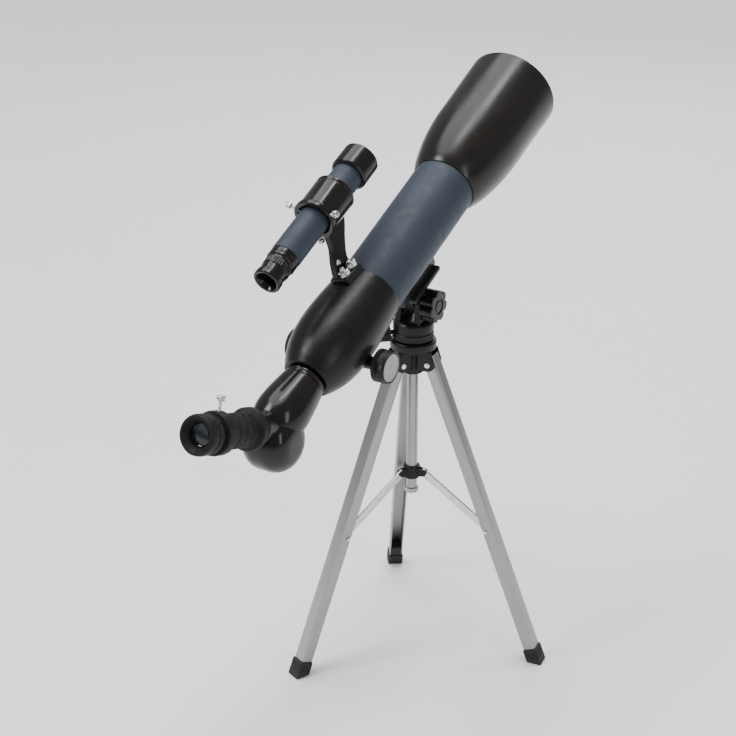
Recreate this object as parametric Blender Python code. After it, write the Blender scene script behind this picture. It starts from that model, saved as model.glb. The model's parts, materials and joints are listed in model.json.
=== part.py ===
"""Small beginner's refracting telescope on a folding table tripod.

Lengths are metres and +Z is up. The tube points towards +Y and the eyepiece towards -Y.
Along the optical axis a place is given by its station: the distance from a datum
36 mm ahead of the painted tube's rear edge, positive towards the objective lens.
"""
from math import cos, pi, radians, sin, tan

import bmesh
import bpy

MM = 0.001
GAP = 0.3 * MM

# ---------------------------------------------------------------- driving dimensions
PLAN_X = -23.5 * MM               # tripod axis, measured from the middle of the plan
PLAN_Y = 62.8 * MM

TUBE_ELEVATION = radians(24)
TUBE_RADIUS = 28 * MM
TUBE_WALL = 1.2 * MM
TUBE_REAR = -36 * MM             # stations along the optical axis
TUBE_FRONT = 102 * MM
SHIELD_FRONT = 240 * MM
SHIELD_RADIUS = 42 * MM
SHIELD_WALL = 1.8 * MM
CELL_REAR = -138 * MM
CELL_RADIUS = 28.8 * MM
CELL_END_RADIUS = 19.6 * MM
CELL_WALL = 2.4 * MM
LENS_RADIUS = 25 * MM

DRAWTUBE_RADIUS = 15 * MM
DRAWTUBE_BORE = 13.2 * MM
FOCUS_STATION = -90 * MM
FOCUS_DROP = 21 * MM             # focus shaft below the optical axis
GEAR_MODULE = 0.8 * MM
PINION_TEETH = 9
RACK_TEETH = 28
KNOB_RADIUS = 13.75 * MM
KNOB_INNER = 34 * MM             # knob's inner and outer faces, from the middle
KNOB_OUTER = 47 * MM

ELBOW_STATION = -190 * MM
BEND = radians(43)
BARREL_RADIUS = 17.2 * MM
BELLY_RADIUS = 24.5 * MM
BELLY_HALF_WIDTH = 21 * MM
BELLY_CORNER = 17 * MM
BELLY_OFFSET = 12.5 * MM
EYE_END = 102 * MM               # from the elbow along the eyepiece's axis

FINDER_DISTANCE = 84 * MM
FINDER_LEAN = radians(18)        # towards the left of the tube's top
FINDER_RADIUS = 12.6 * MM
FINDER_REAR = -118 * MM
FINDER_FRONT = 35 * MM

PIVOT_STATION = 20 * MM          # tilt pivot, under the tube
PIVOT_DROP = 62 * MM
TURNTABLE_RADIUS = 18 * MM
HINGE_DROP = 54 * MM             # leg hinges below the tilt pivot
HINGE_RADIUS = 17 * MM
CROWN_RADIUS = 20.5 * MM
CHEEK_INNER = 6.65 * MM          # cheeks on both sides of each leg's hinge
CHEEK_OUTER = 9.2 * MM

LEG_LENGTH = 300 * MM            # hinge to floor, along the leg
LEG_TILT = radians(21)
LEG_AZIMUTHS = (radians(7), radians(127), radians(247))
CHANNEL_WIDTH = 12.6 * MM
CHANNEL_DEPTH = 11 * MM
CHANNEL_WALL = 1.2 * MM
HINGE_INSET = 6.9 * MM           # hinge pin from the channel's outer face
BRACE_PIN_ALONG = 165 * MM       # brace pin from the hinge, along the leg
BRACE_PIN_INSET = 8.5 * MM
BRACE_ANGLE = radians(35)        # below the horizontal
BRACE_SLOT = 4.5 * MM
HUB_PIN_RADIUS = 11.7 * MM
POST_RADIUS = 5 * MM
PAN_KNOB_TURN = (0, pi / 2, radians(222))

FINE = 30                        # sides of large, middling and small round pieces
MEDIUM = 20
COARSE = 10

HINGE_HEIGHT = LEG_LENGTH * cos(LEG_TILT)
PIVOT_HEIGHT = HINGE_HEIGHT + HINGE_DROP

PAINTED_BLUE = ("painted_blue", (0.058, 0.078, 0.112), 0.45, 0.0)
GLOSS_BLACK = ("gloss_black", (0.012, 0.011, 0.010), 0.12, 0.0)
SATIN_BLACK = ("satin_black", (0.016, 0.016, 0.016), 0.38, 0.0)
DULL_BLACK = ("dull_black", (0.020, 0.020, 0.020), 0.60, 0.0)
GREY_DISC = ("grey_disc", (0.30, 0.30, 0.30), 0.35, 0.6)
ALUMINIUM = ("aluminium", (0.62, 0.63, 0.64), 0.38, 1.0)
BRIGHT_METAL = ("bright_metal", (0.75, 0.75, 0.74), 0.20, 1.0)
LENS_GLASS = ("lens_glass", (0.80, 0.90, 0.92), 0.03, 0.0)


# ---------------------------------------------------------------- building blocks
def material(finish):
    name, colour, roughness, metallic = finish
    found = bpy.data.materials.get(name)
    if found:
        return found
    made = bpy.data.materials.new(name)
    made.use_nodes = True
    shader = made.node_tree.nodes["Principled BSDF"]
    shader.inputs["Base Color"].default_value = (*colour, 1.0)
    shader.inputs["Roughness"].default_value = roughness
    shader.inputs["Metallic"].default_value = metallic
    return made


def frame(name, parent=None, at=(0, 0, 0), turn=(0, 0, 0)):
    """An empty that carries the pieces of one axis."""
    made = bpy.data.objects.new(name, None)
    bpy.context.collection.objects.link(made)
    made.parent = parent
    made.location = at
    made.rotation_euler = turn
    return made


def place(name, shape, parent, finish=None, at=(0, 0, 0), turn=(0, 0, 0)):
    """Turns a bmesh into an object. Without a finish it is a hidden tool shape."""
    mesh = bpy.data.meshes.new(name)
    shape.to_mesh(mesh)
    shape.free()
    made = bpy.data.objects.new(name, mesh)
    bpy.context.collection.objects.link(made)
    made.parent = parent
    made.location = at
    made.rotation_euler = turn
    if finish:
        mesh.materials.append(material(finish))
        mesh.shade_smooth()
        mesh.set_sharp_from_angle(angle=radians(35))
    else:
        made.hide_render = True
        made.display_type = "WIRE"
    return made


def combine(piece, shape, operation, at=(0, 0, 0), turn=(0, 0, 0), parent=None):
    count = len(piece.modifiers) + 1
    tool = place(f"{piece.name}_tool_{count}", shape, parent or piece, None, at, turn)
    step = piece.modifiers.new(f"{operation.lower()}_{count}", "BOOLEAN")
    step.operation = operation
    step.solver = "EXACT"
    step.object = tool


def cut(piece, shape, at=(0, 0, 0), turn=(0, 0, 0), parent=None):
    combine(piece, shape, "DIFFERENCE", at, turn, parent)


def unite(piece, shape, at=(0, 0, 0), turn=(0, 0, 0), parent=None):
    combine(piece, shape, "UNION", at, turn, parent)


def turned(outline, sides=MEDIUM):
    """A body of revolution about local Z from (radius, height) points."""
    shape = bmesh.new()
    points = [shape.verts.new((radius, 0, height)) for radius, height in outline]
    edges = [shape.edges.new(pair) for pair in zip(points, points[1:])]
    if outline[0][0] > 0:
        edges.append(shape.edges.new((points[-1], points[0])))
    bmesh.ops.spin(
        shape, geom=points + edges, axis=(0, 0, 1), cent=(0, 0, 0),
        steps=sides, angle=2 * pi, use_merge=True)
    bmesh.ops.remove_doubles(shape, verts=shape.verts, dist=1e-7)
    bmesh.ops.recalc_face_normals(shape, faces=shape.faces)
    return shape


def rod(radius, low, high, sides=COARSE):
    return turned([(0, low), (radius, low), (radius, high), (0, high)], sides)


def slab(outline, low, high):
    """A flat outline of (x, y) points extruded along local Z."""
    shape = bmesh.new()
    base = shape.faces.new([shape.verts.new((x, y, low)) for x, y in outline])
    grown = bmesh.ops.extrude_face_region(shape, geom=[base])
    moved = [item for item in grown["geom"] if isinstance(item, bmesh.types.BMVert)]
    bmesh.ops.translate(shape, verts=moved, vec=(0, 0, high - low))
    bmesh.ops.recalc_face_normals(shape, faces=shape.faces)
    return shape


def box(low, high):
    corners = [(low[0], low[1]), (high[0], low[1]), (high[0], high[1]), (low[0], high[1])]
    return slab(corners, low[2], high[2])


def arc(centre, radius, start, end, steps):
    """Points on an arc, from angle start to angle end in degrees."""
    turns = [radians(start + (end - start) * step / steps) for step in range(steps + 1)]
    return [(centre[0] + radius * cos(a), centre[1] + radius * sin(a)) for a in turns]


def capsule(length, radius, steps=6):
    """A bar outline with round ends, from the origin along +X."""
    return arc((length, 0), radius, -90, 90, steps) + arc((0, 0), radius, 90, 270, steps)


def spaced(start, end, steps):
    return [start + (end - start) * step / steps for step in range(steps + 1)]


# ---------------------------------------------------------------- frames
def build_frames():
    stand = frame("stand_frame", at=(PLAN_X, PLAN_Y, 0))
    pan = frame("pan_axis", stand, at=(0, 0, PIVOT_HEIGHT))
    tilt = frame("tilt_axis", pan, turn=(TUBE_ELEVATION, 0, 0))
    # Along the optical axis local Z points at the sky and local Y points down.
    optical = frame("optical_axis", tilt, (0, -PIVOT_STATION, PIVOT_DROP), (-pi / 2, 0, 0))
    focus = frame("focus_axis", optical, (0, FOCUS_DROP, FOCUS_STATION), (0, pi / 2, 0))
    eyepiece = frame("eyepiece_axis", optical, (0, 0, ELBOW_STATION), (pi - BEND, 0, 0))
    # The bracket leans to the left: its local -Y points from the tube to the finder.
    bracket = frame("bracket_frame", optical, turn=(0, 0, -FINDER_LEAN))
    finder = frame("finder_axis", bracket, at=(0, -FINDER_DISTANCE, 0))
    return stand, pan, tilt, optical, focus, eyepiece, bracket, finder


# ---------------------------------------------------------------- telescope tube
def shield_radius(station):
    """A rounded shoulder in front of the tube, then almost straight to the rim."""
    share = (station - TUBE_FRONT) / (SHIELD_FRONT - TUBE_FRONT)
    flare = (1 - max(0.0, 1 - share / 0.5) ** 2) ** 0.75
    return TUBE_RADIUS + 0.4 * MM + (SHIELD_RADIUS - 2.0 * MM - TUBE_RADIUS) * flare + 1.6 * MM * share


def dew_shield(optical):
    rear = TUBE_FRONT + GAP
    shoulder = spaced(rear, TUBE_FRONT + 60 * MM, 8)
    outer = [(shield_radius(z), z) for z in shoulder + [SHIELD_FRONT - MM]]
    lip = arc((SHIELD_RADIUS - 0.9 * MM, SHIELD_FRONT - 0.9 * MM), 0.9 * MM, 0, 180, 3)
    stations = [SHIELD_FRONT - 2 * MM] + spaced(TUBE_FRONT + 60 * MM, TUBE_FRONT + 16 * MM, 4)
    inner = [(shield_radius(z) - SHIELD_WALL, z) for z in stations]
    collar = [(TUBE_RADIUS - 0.1 * MM, TUBE_FRONT + 13 * MM), (TUBE_RADIUS - 0.1 * MM, rear)]
    place("dew_shield", turned(outer + lip + inner + collar, FINE), optical, GLOSS_BLACK)


def main_tube(optical):
    inner = TUBE_RADIUS - TUBE_WALL
    ring = [(inner, TUBE_REAR), (TUBE_RADIUS, TUBE_REAR), (TUBE_RADIUS, TUBE_FRONT), (inner, TUBE_FRONT)]
    place("main_tube", turned(ring, FINE), optical, PAINTED_BLUE)
    fit = inner - GAP
    baffle = [(17 * MM, 18 * MM), (fit, 18 * MM), (fit, 26 * MM), (fit - MM, 26 * MM),
              (fit - MM, 19.5 * MM), (17 * MM, 19.5 * MM)]
    place("tube_baffle", turned(baffle, MEDIUM), optical, DULL_BLACK)


def lens_face(radius, edge, bulge, steps=3):
    """Points of a dome from the axis to the rim, for turning."""
    return [(radius * share, edge + bulge * (1 - share * share)) for share in spaced(0, 1, steps)]


def objective(optical):
    spigot = TUBE_RADIUS - TUBE_WALL - GAP
    seat = LENS_RADIUS + GAP
    cell = [(23.4 * MM, 92 * MM), (spigot, 92 * MM), (spigot, 102.4 * MM), (27.6 * MM, 102.4 * MM),
            (27.6 * MM, 114 * MM), (seat, 114 * MM), (seat, 103.6 * MM), (23.4 * MM, 103.6 * MM)]
    place("objective_cell", turned(cell, FINE), optical, DULL_BLACK)
    front = lens_face(LENS_RADIUS, 108 * MM, 2.2 * MM)
    back = lens_face(LENS_RADIUS, 105 * MM, -1.0 * MM)
    place("objective_lens", turned(front + back[::-1], FINE), optical, LENS_GLASS)
    ring = [(22.6 * MM, 111 * MM), (LENS_RADIUS - 0.1 * MM, 108.6 * MM),
            (LENS_RADIUS, 113.4 * MM), (22.6 * MM, 113.4 * MM)]
    place("lens_retaining_ring", turned(ring, FINE), optical, DULL_BLACK)


def cell_radius(station):
    """Swells behind the tube, then draws in to the focuser like an egg's end."""
    share = (TUBE_REAR - station) / (TUBE_REAR - CELL_REAR)
    fall = CELL_RADIUS - CELL_END_RADIUS
    return CELL_RADIUS + fall * share - 2 * fall * share ** 4


def rear_cell(optical, focus):
    bore = DRAWTUBE_RADIUS + 0.4 * MM
    front = TUBE_REAR - GAP
    outer = [(cell_radius(z), z) for z in spaced(CELL_REAR + 0.8 * MM, front, 8)]
    spigot = TUBE_RADIUS - TUBE_WALL - GAP
    step = [(spigot, front), (spigot, -22 * MM), (24.6 * MM, -22 * MM)]
    inner = [(cell_radius(z) - CELL_WALL, z) for z in spaced(-40 * MM, -112 * MM, 4)]
    end = [(bore, -112 * MM), (bore, CELL_REAR), (CELL_END_RADIUS - 0.8 * MM, CELL_REAR)]
    piece = place("rear_cell", turned(outer + step + inner + end, FINE), optical, SATIN_BLACK)
    for side in (-1, 1):
        boss = rod(5.5 * MM, 6 * MM, KNOB_INNER - MM, 18)
        unite(piece, boss, turn=(0, pi if side < 0 else 0, 0), parent=focus)
    cut(piece, rod(1.9 * MM, -45 * MM, 45 * MM, 10), turn=(0, 0, 0.1), parent=focus)
    cut(piece, rod(4.7 * MM, -3.8 * MM, 3.8 * MM), turn=(0, 0, 0.05), parent=focus)
    cut(piece, box((-2.9 * MM, 13 * MM, -150 * MM), (2.9 * MM, 18.4 * MM, -100 * MM)), parent=optical)


def mount_shoe(optical):
    outline = [(-13 * MM, 20 * MM), (13 * MM, 20 * MM), (13 * MM, 30 * MM), (10.5 * MM, 34 * MM),
               (10.5 * MM, 42 * MM), (-10.5 * MM, 42 * MM), (-10.5 * MM, 34 * MM), (-13 * MM, 30 * MM)]
    piece = place("mount_shoe", slab(outline, -8 * MM, 50 * MM), optical, SATIN_BLACK)
    cut(piece, rod(TUBE_RADIUS + GAP, -60 * MM, 90 * MM, FINE), parent=optical)
    cut(piece, rod(3.5 * MM, -50 * MM, -30 * MM), (0, 0, 39 * MM), (pi / 2, 0, 0), optical)


# ---------------------------------------------------------------- focuser
def trapezoid(middle, root, tip, half_root, half_tip):
    return [(middle - half_root, root), (middle - half_tip, tip),
            (middle + half_tip, tip), (middle + half_root, root)]


def drawtube(optical):
    rear = CELL_REAR - MM
    ring = [(DRAWTUBE_BORE, rear), (DRAWTUBE_RADIUS, rear),
            (DRAWTUBE_RADIUS, -54 * MM), (DRAWTUBE_BORE, -54 * MM)]
    piece = place("drawtube", turned(ring, MEDIUM), optical, GLOSS_BLACK)
    pitch = pi * GEAR_MODULE
    line = FOCUS_DROP - PINION_TEETH * GEAR_MODULE / 2
    root = line - 0.9 * MM
    first = FOCUS_STATION - pitch * (RACK_TEETH // 2) + pitch / 2
    teeth = []
    for tooth in range(RACK_TEETH):
        teeth += trapezoid(first + tooth * pitch, root, line + 0.5 * MM, 0.62 * MM, 0.28 * MM)
    low = teeth[0][0] - MM
    high = teeth[-1][0] + MM
    outline = [(low, 14 * MM), (low, root)] + teeth + [(high, root), (high, 14 * MM)]
    # Local X of the rack runs along the tube and local Y away from it.
    unite(piece, slab(outline, -2.5 * MM, 2.5 * MM), turn=(0, -pi / 2, 0), parent=optical)


def pinion_shaft(focus):
    count = PINION_TEETH
    pitch_radius = count * GEAR_MODULE / 2
    outline = []
    for tooth in range(count):
        middle = 2 * pi * tooth / count
        for radius, offset in ((pitch_radius - 0.9 * MM, -0.27), (pitch_radius + 0.45 * MM, -0.08),
                               (pitch_radius + 0.45 * MM, 0.08), (pitch_radius - 0.9 * MM, 0.27)):
            outline.append((radius * cos(middle + offset), radius * sin(middle + offset)))
    # One tooth points straight up into a gap of the rack.
    piece = place("focus_pinion", slab(outline, -3 * MM, 3 * MM), focus, BRIGHT_METAL, turn=(0, 0, -pi / 2))
    unite(piece, rod(1.5 * MM, -45.2 * MM, 45.2 * MM, 12))


def focus_knobs(focus):
    rim = KNOB_RADIUS
    low = KNOB_INNER
    high = KNOB_OUTER
    outline = [(1.8 * MM, low), (rim - MM, low), (rim, low + MM), (rim, low + 5 * MM),
               (rim - 0.9 * MM, low + 5.5 * MM), (rim - 0.9 * MM, low + 6.3 * MM), (rim, low + 6.8 * MM),
               (rim, high - MM), (rim - MM, high), (rim - 1.8 * MM, high),
               (rim - 1.8 * MM, high - 1.5 * MM), (1.8 * MM, high - 1.5 * MM)]
    radius = rim - 2.1 * MM
    disc = [(0, high - 1.2 * MM), (radius, high - 1.2 * MM), (radius, high - 0.3 * MM),
            (radius - 0.4 * MM, high), (0, high)]
    for side, turn in (("right", 0), ("left", pi)):
        place(f"focus_knob_{side}", turned(outline, 24), focus, SATIN_BLACK, turn=(0, turn, 0))
        place(f"knob_disc_{side}", turned(disc, 24), focus, GREY_DISC, turn=(0, turn, 0))


# ---------------------------------------------------------------- diagonal and eyepiece
def belly_centre():
    """Station and height of the rounded prism housing, outside the bend."""
    lean = BEND / 2
    return ELBOW_STATION - BELLY_OFFSET * sin(lean), BELLY_OFFSET * cos(lean)


def belly_outline(radius, half_width, corner):
    rim = arc((radius - corner, half_width - corner), corner, 90, 0, 5)
    back = [(r, -z) for r, z in reversed(rim)]
    return [(0, half_width)] + rim + back + [(0, -half_width)]


def diagonal_housing(optical, eyepiece):
    nose = DRAWTUBE_BORE - GAP
    start = CELL_REAR - MM - GAP
    body = [(0, -122 * MM), (nose, -122 * MM), (nose, start), (BARREL_RADIUS - 0.6 * MM, start),
            (BARREL_RADIUS, start - 0.6 * MM), (BARREL_RADIUS, -145 * MM), (18.4 * MM, -146 * MM),
            (21.2 * MM, -166 * MM), (21.8 * MM, -176 * MM), (20.8 * MM, -185 * MM),
            (17 * MM, -194 * MM), (9 * MM, -200 * MM), (0, -202 * MM)]
    piece = place("diagonal_housing", turned(body[::-1], FINE), optical, GLOSS_BLACK)
    station, drop = belly_centre()
    belly = turned(belly_outline(BELLY_RADIUS, BELLY_HALF_WIDTH, BELLY_CORNER), FINE)
    unite(piece, belly, (0, drop, station), (0, pi / 2, 0), optical)
    neck = turned([(0, 6 * MM), (13.6 * MM, 6 * MM), (13.0 * MM, 30.4 * MM), (0, 30.4 * MM)], MEDIUM)
    unite(piece, neck, parent=eyepiece)
    wall = 2.4 * MM
    inside = belly_outline(BELLY_RADIUS - wall, BELLY_HALF_WIDTH - wall, BELLY_CORNER - wall)
    room = turned(inside, MEDIUM)
    cut(piece, room, (0, drop, station), (0, pi / 2, 0), optical)
    cut(piece, rod(11.3 * MM, ELBOW_STATION - 4 * MM, -110 * MM, MEDIUM), parent=optical)
    cut(piece, rod(11.3 * MM, -4 * MM, 40 * MM, MEDIUM), parent=eyepiece)


def diagonal_prism(optical):
    half = 6.6 * MM
    reach = 8 * MM
    across = (sin(BEND), -cos(BEND))
    centre = (ELBOW_STATION - reach * cos(BEND), -reach * sin(BEND))
    faces = [(ELBOW_STATION + reach, -half),
             (centre[0] + half * across[0], centre[1] + half * across[1]),
             (centre[0] - half * across[0], centre[1] - half * across[1]),
             (ELBOW_STATION - 10 * MM, 18 * MM),
             (ELBOW_STATION + 2 * MM, 16 * MM),
             (ELBOW_STATION + reach, half)]
    place("diagonal_prism", slab(faces, -half, half), optical, LENS_GLASS, turn=(0, -pi / 2, 0))


def eyepiece_holder(eyepiece):
    spigot = 11 * MM
    bore = 12.6 * MM
    ring = 16.8 * MM
    grip = 13.7 * MM
    outline = [(9.5 * MM, 20 * MM), (spigot, 20 * MM), (spigot, 30.7 * MM), (ring - MM, 30.7 * MM),
               (ring, 31.7 * MM), (ring, 37 * MM), (grip, 38.4 * MM)]
    for groove in range(3):
        base = (44 + 10 * groove) * MM
        outline += [(grip, base), (grip - 0.5 * MM, base + 0.5 * MM),
                    (grip - 0.5 * MM, base + 1.5 * MM), (grip, base + 2 * MM)]
    outline += [(grip, 71.5 * MM), (ring, 73 * MM), (ring, 81 * MM), (ring - MM, 82 * MM),
                (bore, 82 * MM), (bore, 44 * MM), (9.5 * MM, 44 * MM)]
    piece = place("eyepiece_holder", turned(outline, MEDIUM), eyepiece, DULL_BLACK)
    cut(piece, rod(1.8 * MM, 5 * MM, 22 * MM, 12), (0, 0, 77 * MM), (-pi / 2, 0, 0), eyepiece)
    screw = [(0, 12.9 * MM), (1.4 * MM, 12.9 * MM), (1.4 * MM, 24 * MM), (3.0 * MM, 24.6 * MM),
             (3.4 * MM, 26 * MM), (3.0 * MM, 28 * MM), (0, 28.4 * MM)]
    place("eyepiece_thumbscrew", turned(screw, COARSE), eyepiece, BRIGHT_METAL,
          (0, 0, 77 * MM), (-pi / 2, 0, 0))


def eyepiece_set(eyepiece):
    sleeve = 12.25 * MM
    wall = 0.8 * MM
    barrel = [(sleeve - wall, 50 * MM), (sleeve, 50 * MM), (sleeve, 84 * MM), (sleeve - wall, 84 * MM)]
    place("eyepiece_barrel", turned(barrel, MEDIUM), eyepiece, BRIGHT_METAL)
    fit = sleeve - wall - GAP
    cup = 15.6 * MM
    body = [(8 * MM, 78 * MM), (fit, 78 * MM), (fit, 84.3 * MM), (13 * MM, 84.3 * MM), (13 * MM, 87 * MM),
            (cup - MM, 87 * MM), (cup, 88 * MM), (cup, 100.6 * MM), (cup - 1.4 * MM, EYE_END),
            (12.6 * MM, EYE_END), (9 * MM, 97.4 * MM), (9 * MM, 92 * MM), (8 * MM, 92 * MM)]
    place("eyepiece_body", turned(body, MEDIUM), eyepiece, DULL_BLACK)
    eye = lens_face(8.6 * MM, 95 * MM, 1.6 * MM) + [(8.6 * MM, 92.4 * MM), (0, 92.4 * MM)]
    place("eye_lens", turned(eye, MEDIUM), eyepiece, LENS_GLASS)
    field = lens_face(fit, 64 * MM, 2.4 * MM) + [(fit, 62 * MM), (0, 62 * MM)]
    place("field_lens", turned(field, MEDIUM), eyepiece, LENS_GLASS)


# ---------------------------------------------------------------- finder
def finder_screws(bracket):
    """Three thumbscrews that aim the finder, each square to its axis."""
    outline = [(0, FINDER_RADIUS + GAP), (1.3 * MM, FINDER_RADIUS + GAP), (1.3 * MM, 21.5 * MM),
               (2.8 * MM, 22 * MM), (2.8 * MM, 25.4 * MM), (2.2 * MM, 26 * MM), (0, 26 * MM)]
    for number, angle in enumerate((radians(-50), radians(85), radians(-160)), 1):
        yield number, outline, angle


def finder_bracket(bracket, finder):
    inner = 14.6 * MM
    outer = 17.4 * MM
    flange = outer + 0.9 * MM
    ring = [(inner, -44 * MM), (outer, -44 * MM), (flange, -43.4 * MM), (flange, -40 * MM),
            (outer, -39.4 * MM), (outer, -9 * MM), (outer - 0.6 * MM, -8 * MM), (inner, -8 * MM)]
    piece = place("finder_bracket", turned(ring, MEDIUM), finder, SATIN_BLACK)
    # The arm's outline is (station, distance from the optical axis).
    rear = [(-57 * MM, 33 * MM), (-52 * MM, 44 * MM), (-44 * MM, 55 * MM), (-40 * MM, 68.5 * MM)]
    front = [(-14 * MM, 68.5 * MM), (-24 * MM, 57 * MM), (-34 * MM, 44 * MM), (-38 * MM, 33 * MM)]
    unite(piece, slab(rear + front, -3.5 * MM, 3.2 * MM), turn=(pi, -pi / 2, 0), parent=bracket)
    seat = box((-5.5 * MM, -34 * MM, -59 * MM), (13.5 * MM, -22 * MM, -37.5 * MM))
    unite(piece, seat, parent=bracket)
    saddle = [(cell_radius(z) + GAP, z) for z in spaced(-70 * MM, TUBE_REAR, 4)]
    saddle = [(0, -70 * MM)] + saddle + [(CELL_RADIUS + GAP, 0), (0, 0)]
    cut(piece, turned(saddle, FINE), parent=bracket)
    for _number, _outline, angle in finder_screws(bracket):
        hole = rod(1.7 * MM, 11 * MM, 21 * MM, 12)
        direction = (pi / 2, 0, angle)
        cut(piece, hole, (0, 0, -41.7 * MM), direction, finder)


def finder_fittings(bracket, finder):
    for number, outline, angle in finder_screws(bracket):
        place(f"finder_screw_{number}", turned(outline, COARSE), finder, BRIGHT_METAL,
              (0, 0, -41.7 * MM), (pi / 2, 0, angle))
    nut = [(0, 34.3 * MM), (4.6 * MM, 34.3 * MM), (4.6 * MM, 38.4 * MM), (3.9 * MM, 39 * MM),
           (1.7 * MM, 39 * MM), (1.5 * MM, 41.4 * MM), (0, 41.8 * MM)]
    for number, station in enumerate((-42.6 * MM, -53.4 * MM), 1):
        place(f"bracket_nut_{number}", turned(nut, COARSE), bracket, BRIGHT_METAL,
              (8.4 * MM, 0, station), (pi / 2, 0, 0))


def finder_scope(finder):
    wall = FINDER_RADIUS - MM
    tube = [(wall, -89 * MM), (FINDER_RADIUS, -89 * MM), (FINDER_RADIUS, 19 * MM), (wall, 19 * MM)]
    place("finder_tube", turned(tube, MEDIUM), finder, PAINTED_BLUE)
    hood_wall = 15.8 * MM
    fit = FINDER_RADIUS + GAP
    hood = [(fit, 12 * MM), (14.8 * MM, 12 * MM), (hood_wall, 13.4 * MM),
            (hood_wall, FINDER_FRONT - 0.6 * MM), (hood_wall - 0.6 * MM, FINDER_FRONT),
            (14.4 * MM, FINDER_FRONT), (14.4 * MM, 21 * MM), (fit, 19.6 * MM)]
    place("finder_hood", turned(hood, MEDIUM), finder, GLOSS_BLACK)
    radius = wall - GAP
    lens = lens_face(radius, 9 * MM, 1.4 * MM) + [(radius, 6.4 * MM), (0, 6.4 * MM)]
    place("finder_objective", turned(lens, MEDIUM), finder, LENS_GLASS)
    black = [(6.5 * MM, FINDER_REAR + 6 * MM), (9 * MM, FINDER_REAR), (11 * MM, FINDER_REAR),
             (11.6 * MM, FINDER_REAR + 0.8 * MM), (11.6 * MM, -113 * MM), (10.9 * MM, -112 * MM),
             (10.9 * MM, -106 * MM), (11.6 * MM, -105 * MM), (11.6 * MM, -98 * MM), (12.4 * MM, -96.5 * MM),
             (12.4 * MM, -89.3 * MM), (radius, -89.3 * MM), (radius, -82 * MM), (6.5 * MM, -82 * MM)]
    place("finder_eyepiece", turned(black, MEDIUM), finder, DULL_BLACK)
    radius = 6.2 * MM
    eye = [(0, -109.6 * MM), (radius, -109.2 * MM), (radius, -106 * MM), (0, -106 * MM)]
    place("finder_eye_lens", turned(eye, MEDIUM), finder, LENS_GLASS)


# ---------------------------------------------------------------- pan and tilt head
def tilt_platform(tilt, optical):
    top = PIVOT_DROP - 42.3 * MM
    base = top - 4.6 * MM
    plate = box((-15 * MM, -17 * MM, base), (15 * MM, 29 * MM, top))
    piece = place("tilt_platform", plate, tilt, SATIN_BLACK)
    bevel = piece.modifiers.new("corners", "BEVEL")
    bevel.width = MM
    bevel.segments = 1
    lug = [(-11 * MM, top - 3 * MM)] + arc((0, 0), 10.4 * MM, 180, 360, 12) + [(11 * MM, top - 3 * MM)]
    # Local X of the lug runs forward and local Y up.
    unite(piece, slab(lug, -6 * MM, 6 * MM), turn=(pi / 2, 0, pi / 2), parent=tilt)
    cut(piece, rod(3.2 * MM, -9 * MM, 9 * MM), turn=(0, pi / 2, 0), parent=tilt)
    cut(piece, rod(3.6 * MM, 0, 30 * MM), (0, 19 * MM, 0), parent=tilt)
    screw = [(0, base - 5 * MM), (6.2 * MM, base - 5 * MM), (7 * MM, base - 4.2 * MM), (7 * MM, base - GAP),
             (3.2 * MM, base - GAP), (3.2 * MM, top + 5 * MM), (0, top + 6 * MM)]
    place("mount_screw", turned(screw, COARSE), tilt, BRIGHT_METAL, (0, 19 * MM, 0))


def pan_base(pan):
    top = -16 * MM
    bottom = -(HINGE_DROP - 20 * MM)
    disc = [(0, bottom), (TURNTABLE_RADIUS - MM, bottom), (TURNTABLE_RADIUS, bottom + MM),
            (TURNTABLE_RADIUS, top - 2 * MM), (TURNTABLE_RADIUS - 2 * MM, top), (0, top)]
    piece = place("pan_base", turned(disc, FINE), pan, SATIN_BLACK)
    ear = [(-12 * MM, top - 2 * MM), (12 * MM, top - 2 * MM)] + arc((0, 0), 10.4 * MM, 0, 180, 12)
    for low in (-12.5 * MM, 6.5 * MM):
        unite(piece, slab(ear, low, low + 6 * MM), turn=(pi / 2, 0, pi / 2), parent=pan)
    cut(piece, rod(3.2 * MM, -15 * MM, 15 * MM), turn=(0, pi / 2, 0), parent=pan)
    cut(piece, rod(8.4 * MM, bottom - MM, bottom + 10 * MM, MEDIUM), parent=pan)
    cut(piece, rod(2.4 * MM, 6 * MM, 22 * MM, 12), (0, 0, bottom + 6.5 * MM), PAN_KNOB_TURN, pan)


def lobed(radius, depth, lobes, steps=6):
    """Outline of a star knob: rounded lobes around a core."""
    points = []
    for step in range(lobes * steps):
        angle = 2 * pi * step / (lobes * steps)
        wave = abs(sin(lobes * angle / 2))
        reach = radius - depth * (1 - wave) ** 1.6
        points.append((reach * cos(angle), reach * sin(angle)))
    return points


def head_knobs(pan):
    bolt = [(0, -17 * MM), (4.4 * MM, -17 * MM), (5 * MM, -16.4 * MM), (5 * MM, -12.8 * MM),
            (2.8 * MM, -12.8 * MM), (2.8 * MM, 21 * MM), (0, 21 * MM)]
    place("tilt_bolt", turned(bolt, COARSE), pan, BRIGHT_METAL, turn=(0, pi / 2, 0))
    knob = slab(lobed(14.5 * MM, 3.4 * MM, 7), 13 * MM, 25 * MM)
    piece = place("tilt_knob", knob, pan, SATIN_BLACK, turn=(0, pi / 2, 0))
    bevel = piece.modifiers.new("rim", "BEVEL")
    bevel.width = 0.9 * MM
    bevel.segments = 1
    bevel.limit_method = "ANGLE"
    cut(piece, rod(3.1 * MM, 12 * MM, 21.4 * MM))
    height = -(HINGE_DROP - 20 * MM) + 6.5 * MM
    stem = rod(2.0 * MM, 9 * MM, 23 * MM, 12)
    grip = slab(lobed(8.2 * MM, 1.2 * MM, 10, 4), 21.4 * MM, 32.4 * MM)
    piece = place("pan_knob", grip, pan, DULL_BLACK, (0, 0, height), PAN_KNOB_TURN)
    unite(piece, stem)


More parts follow.
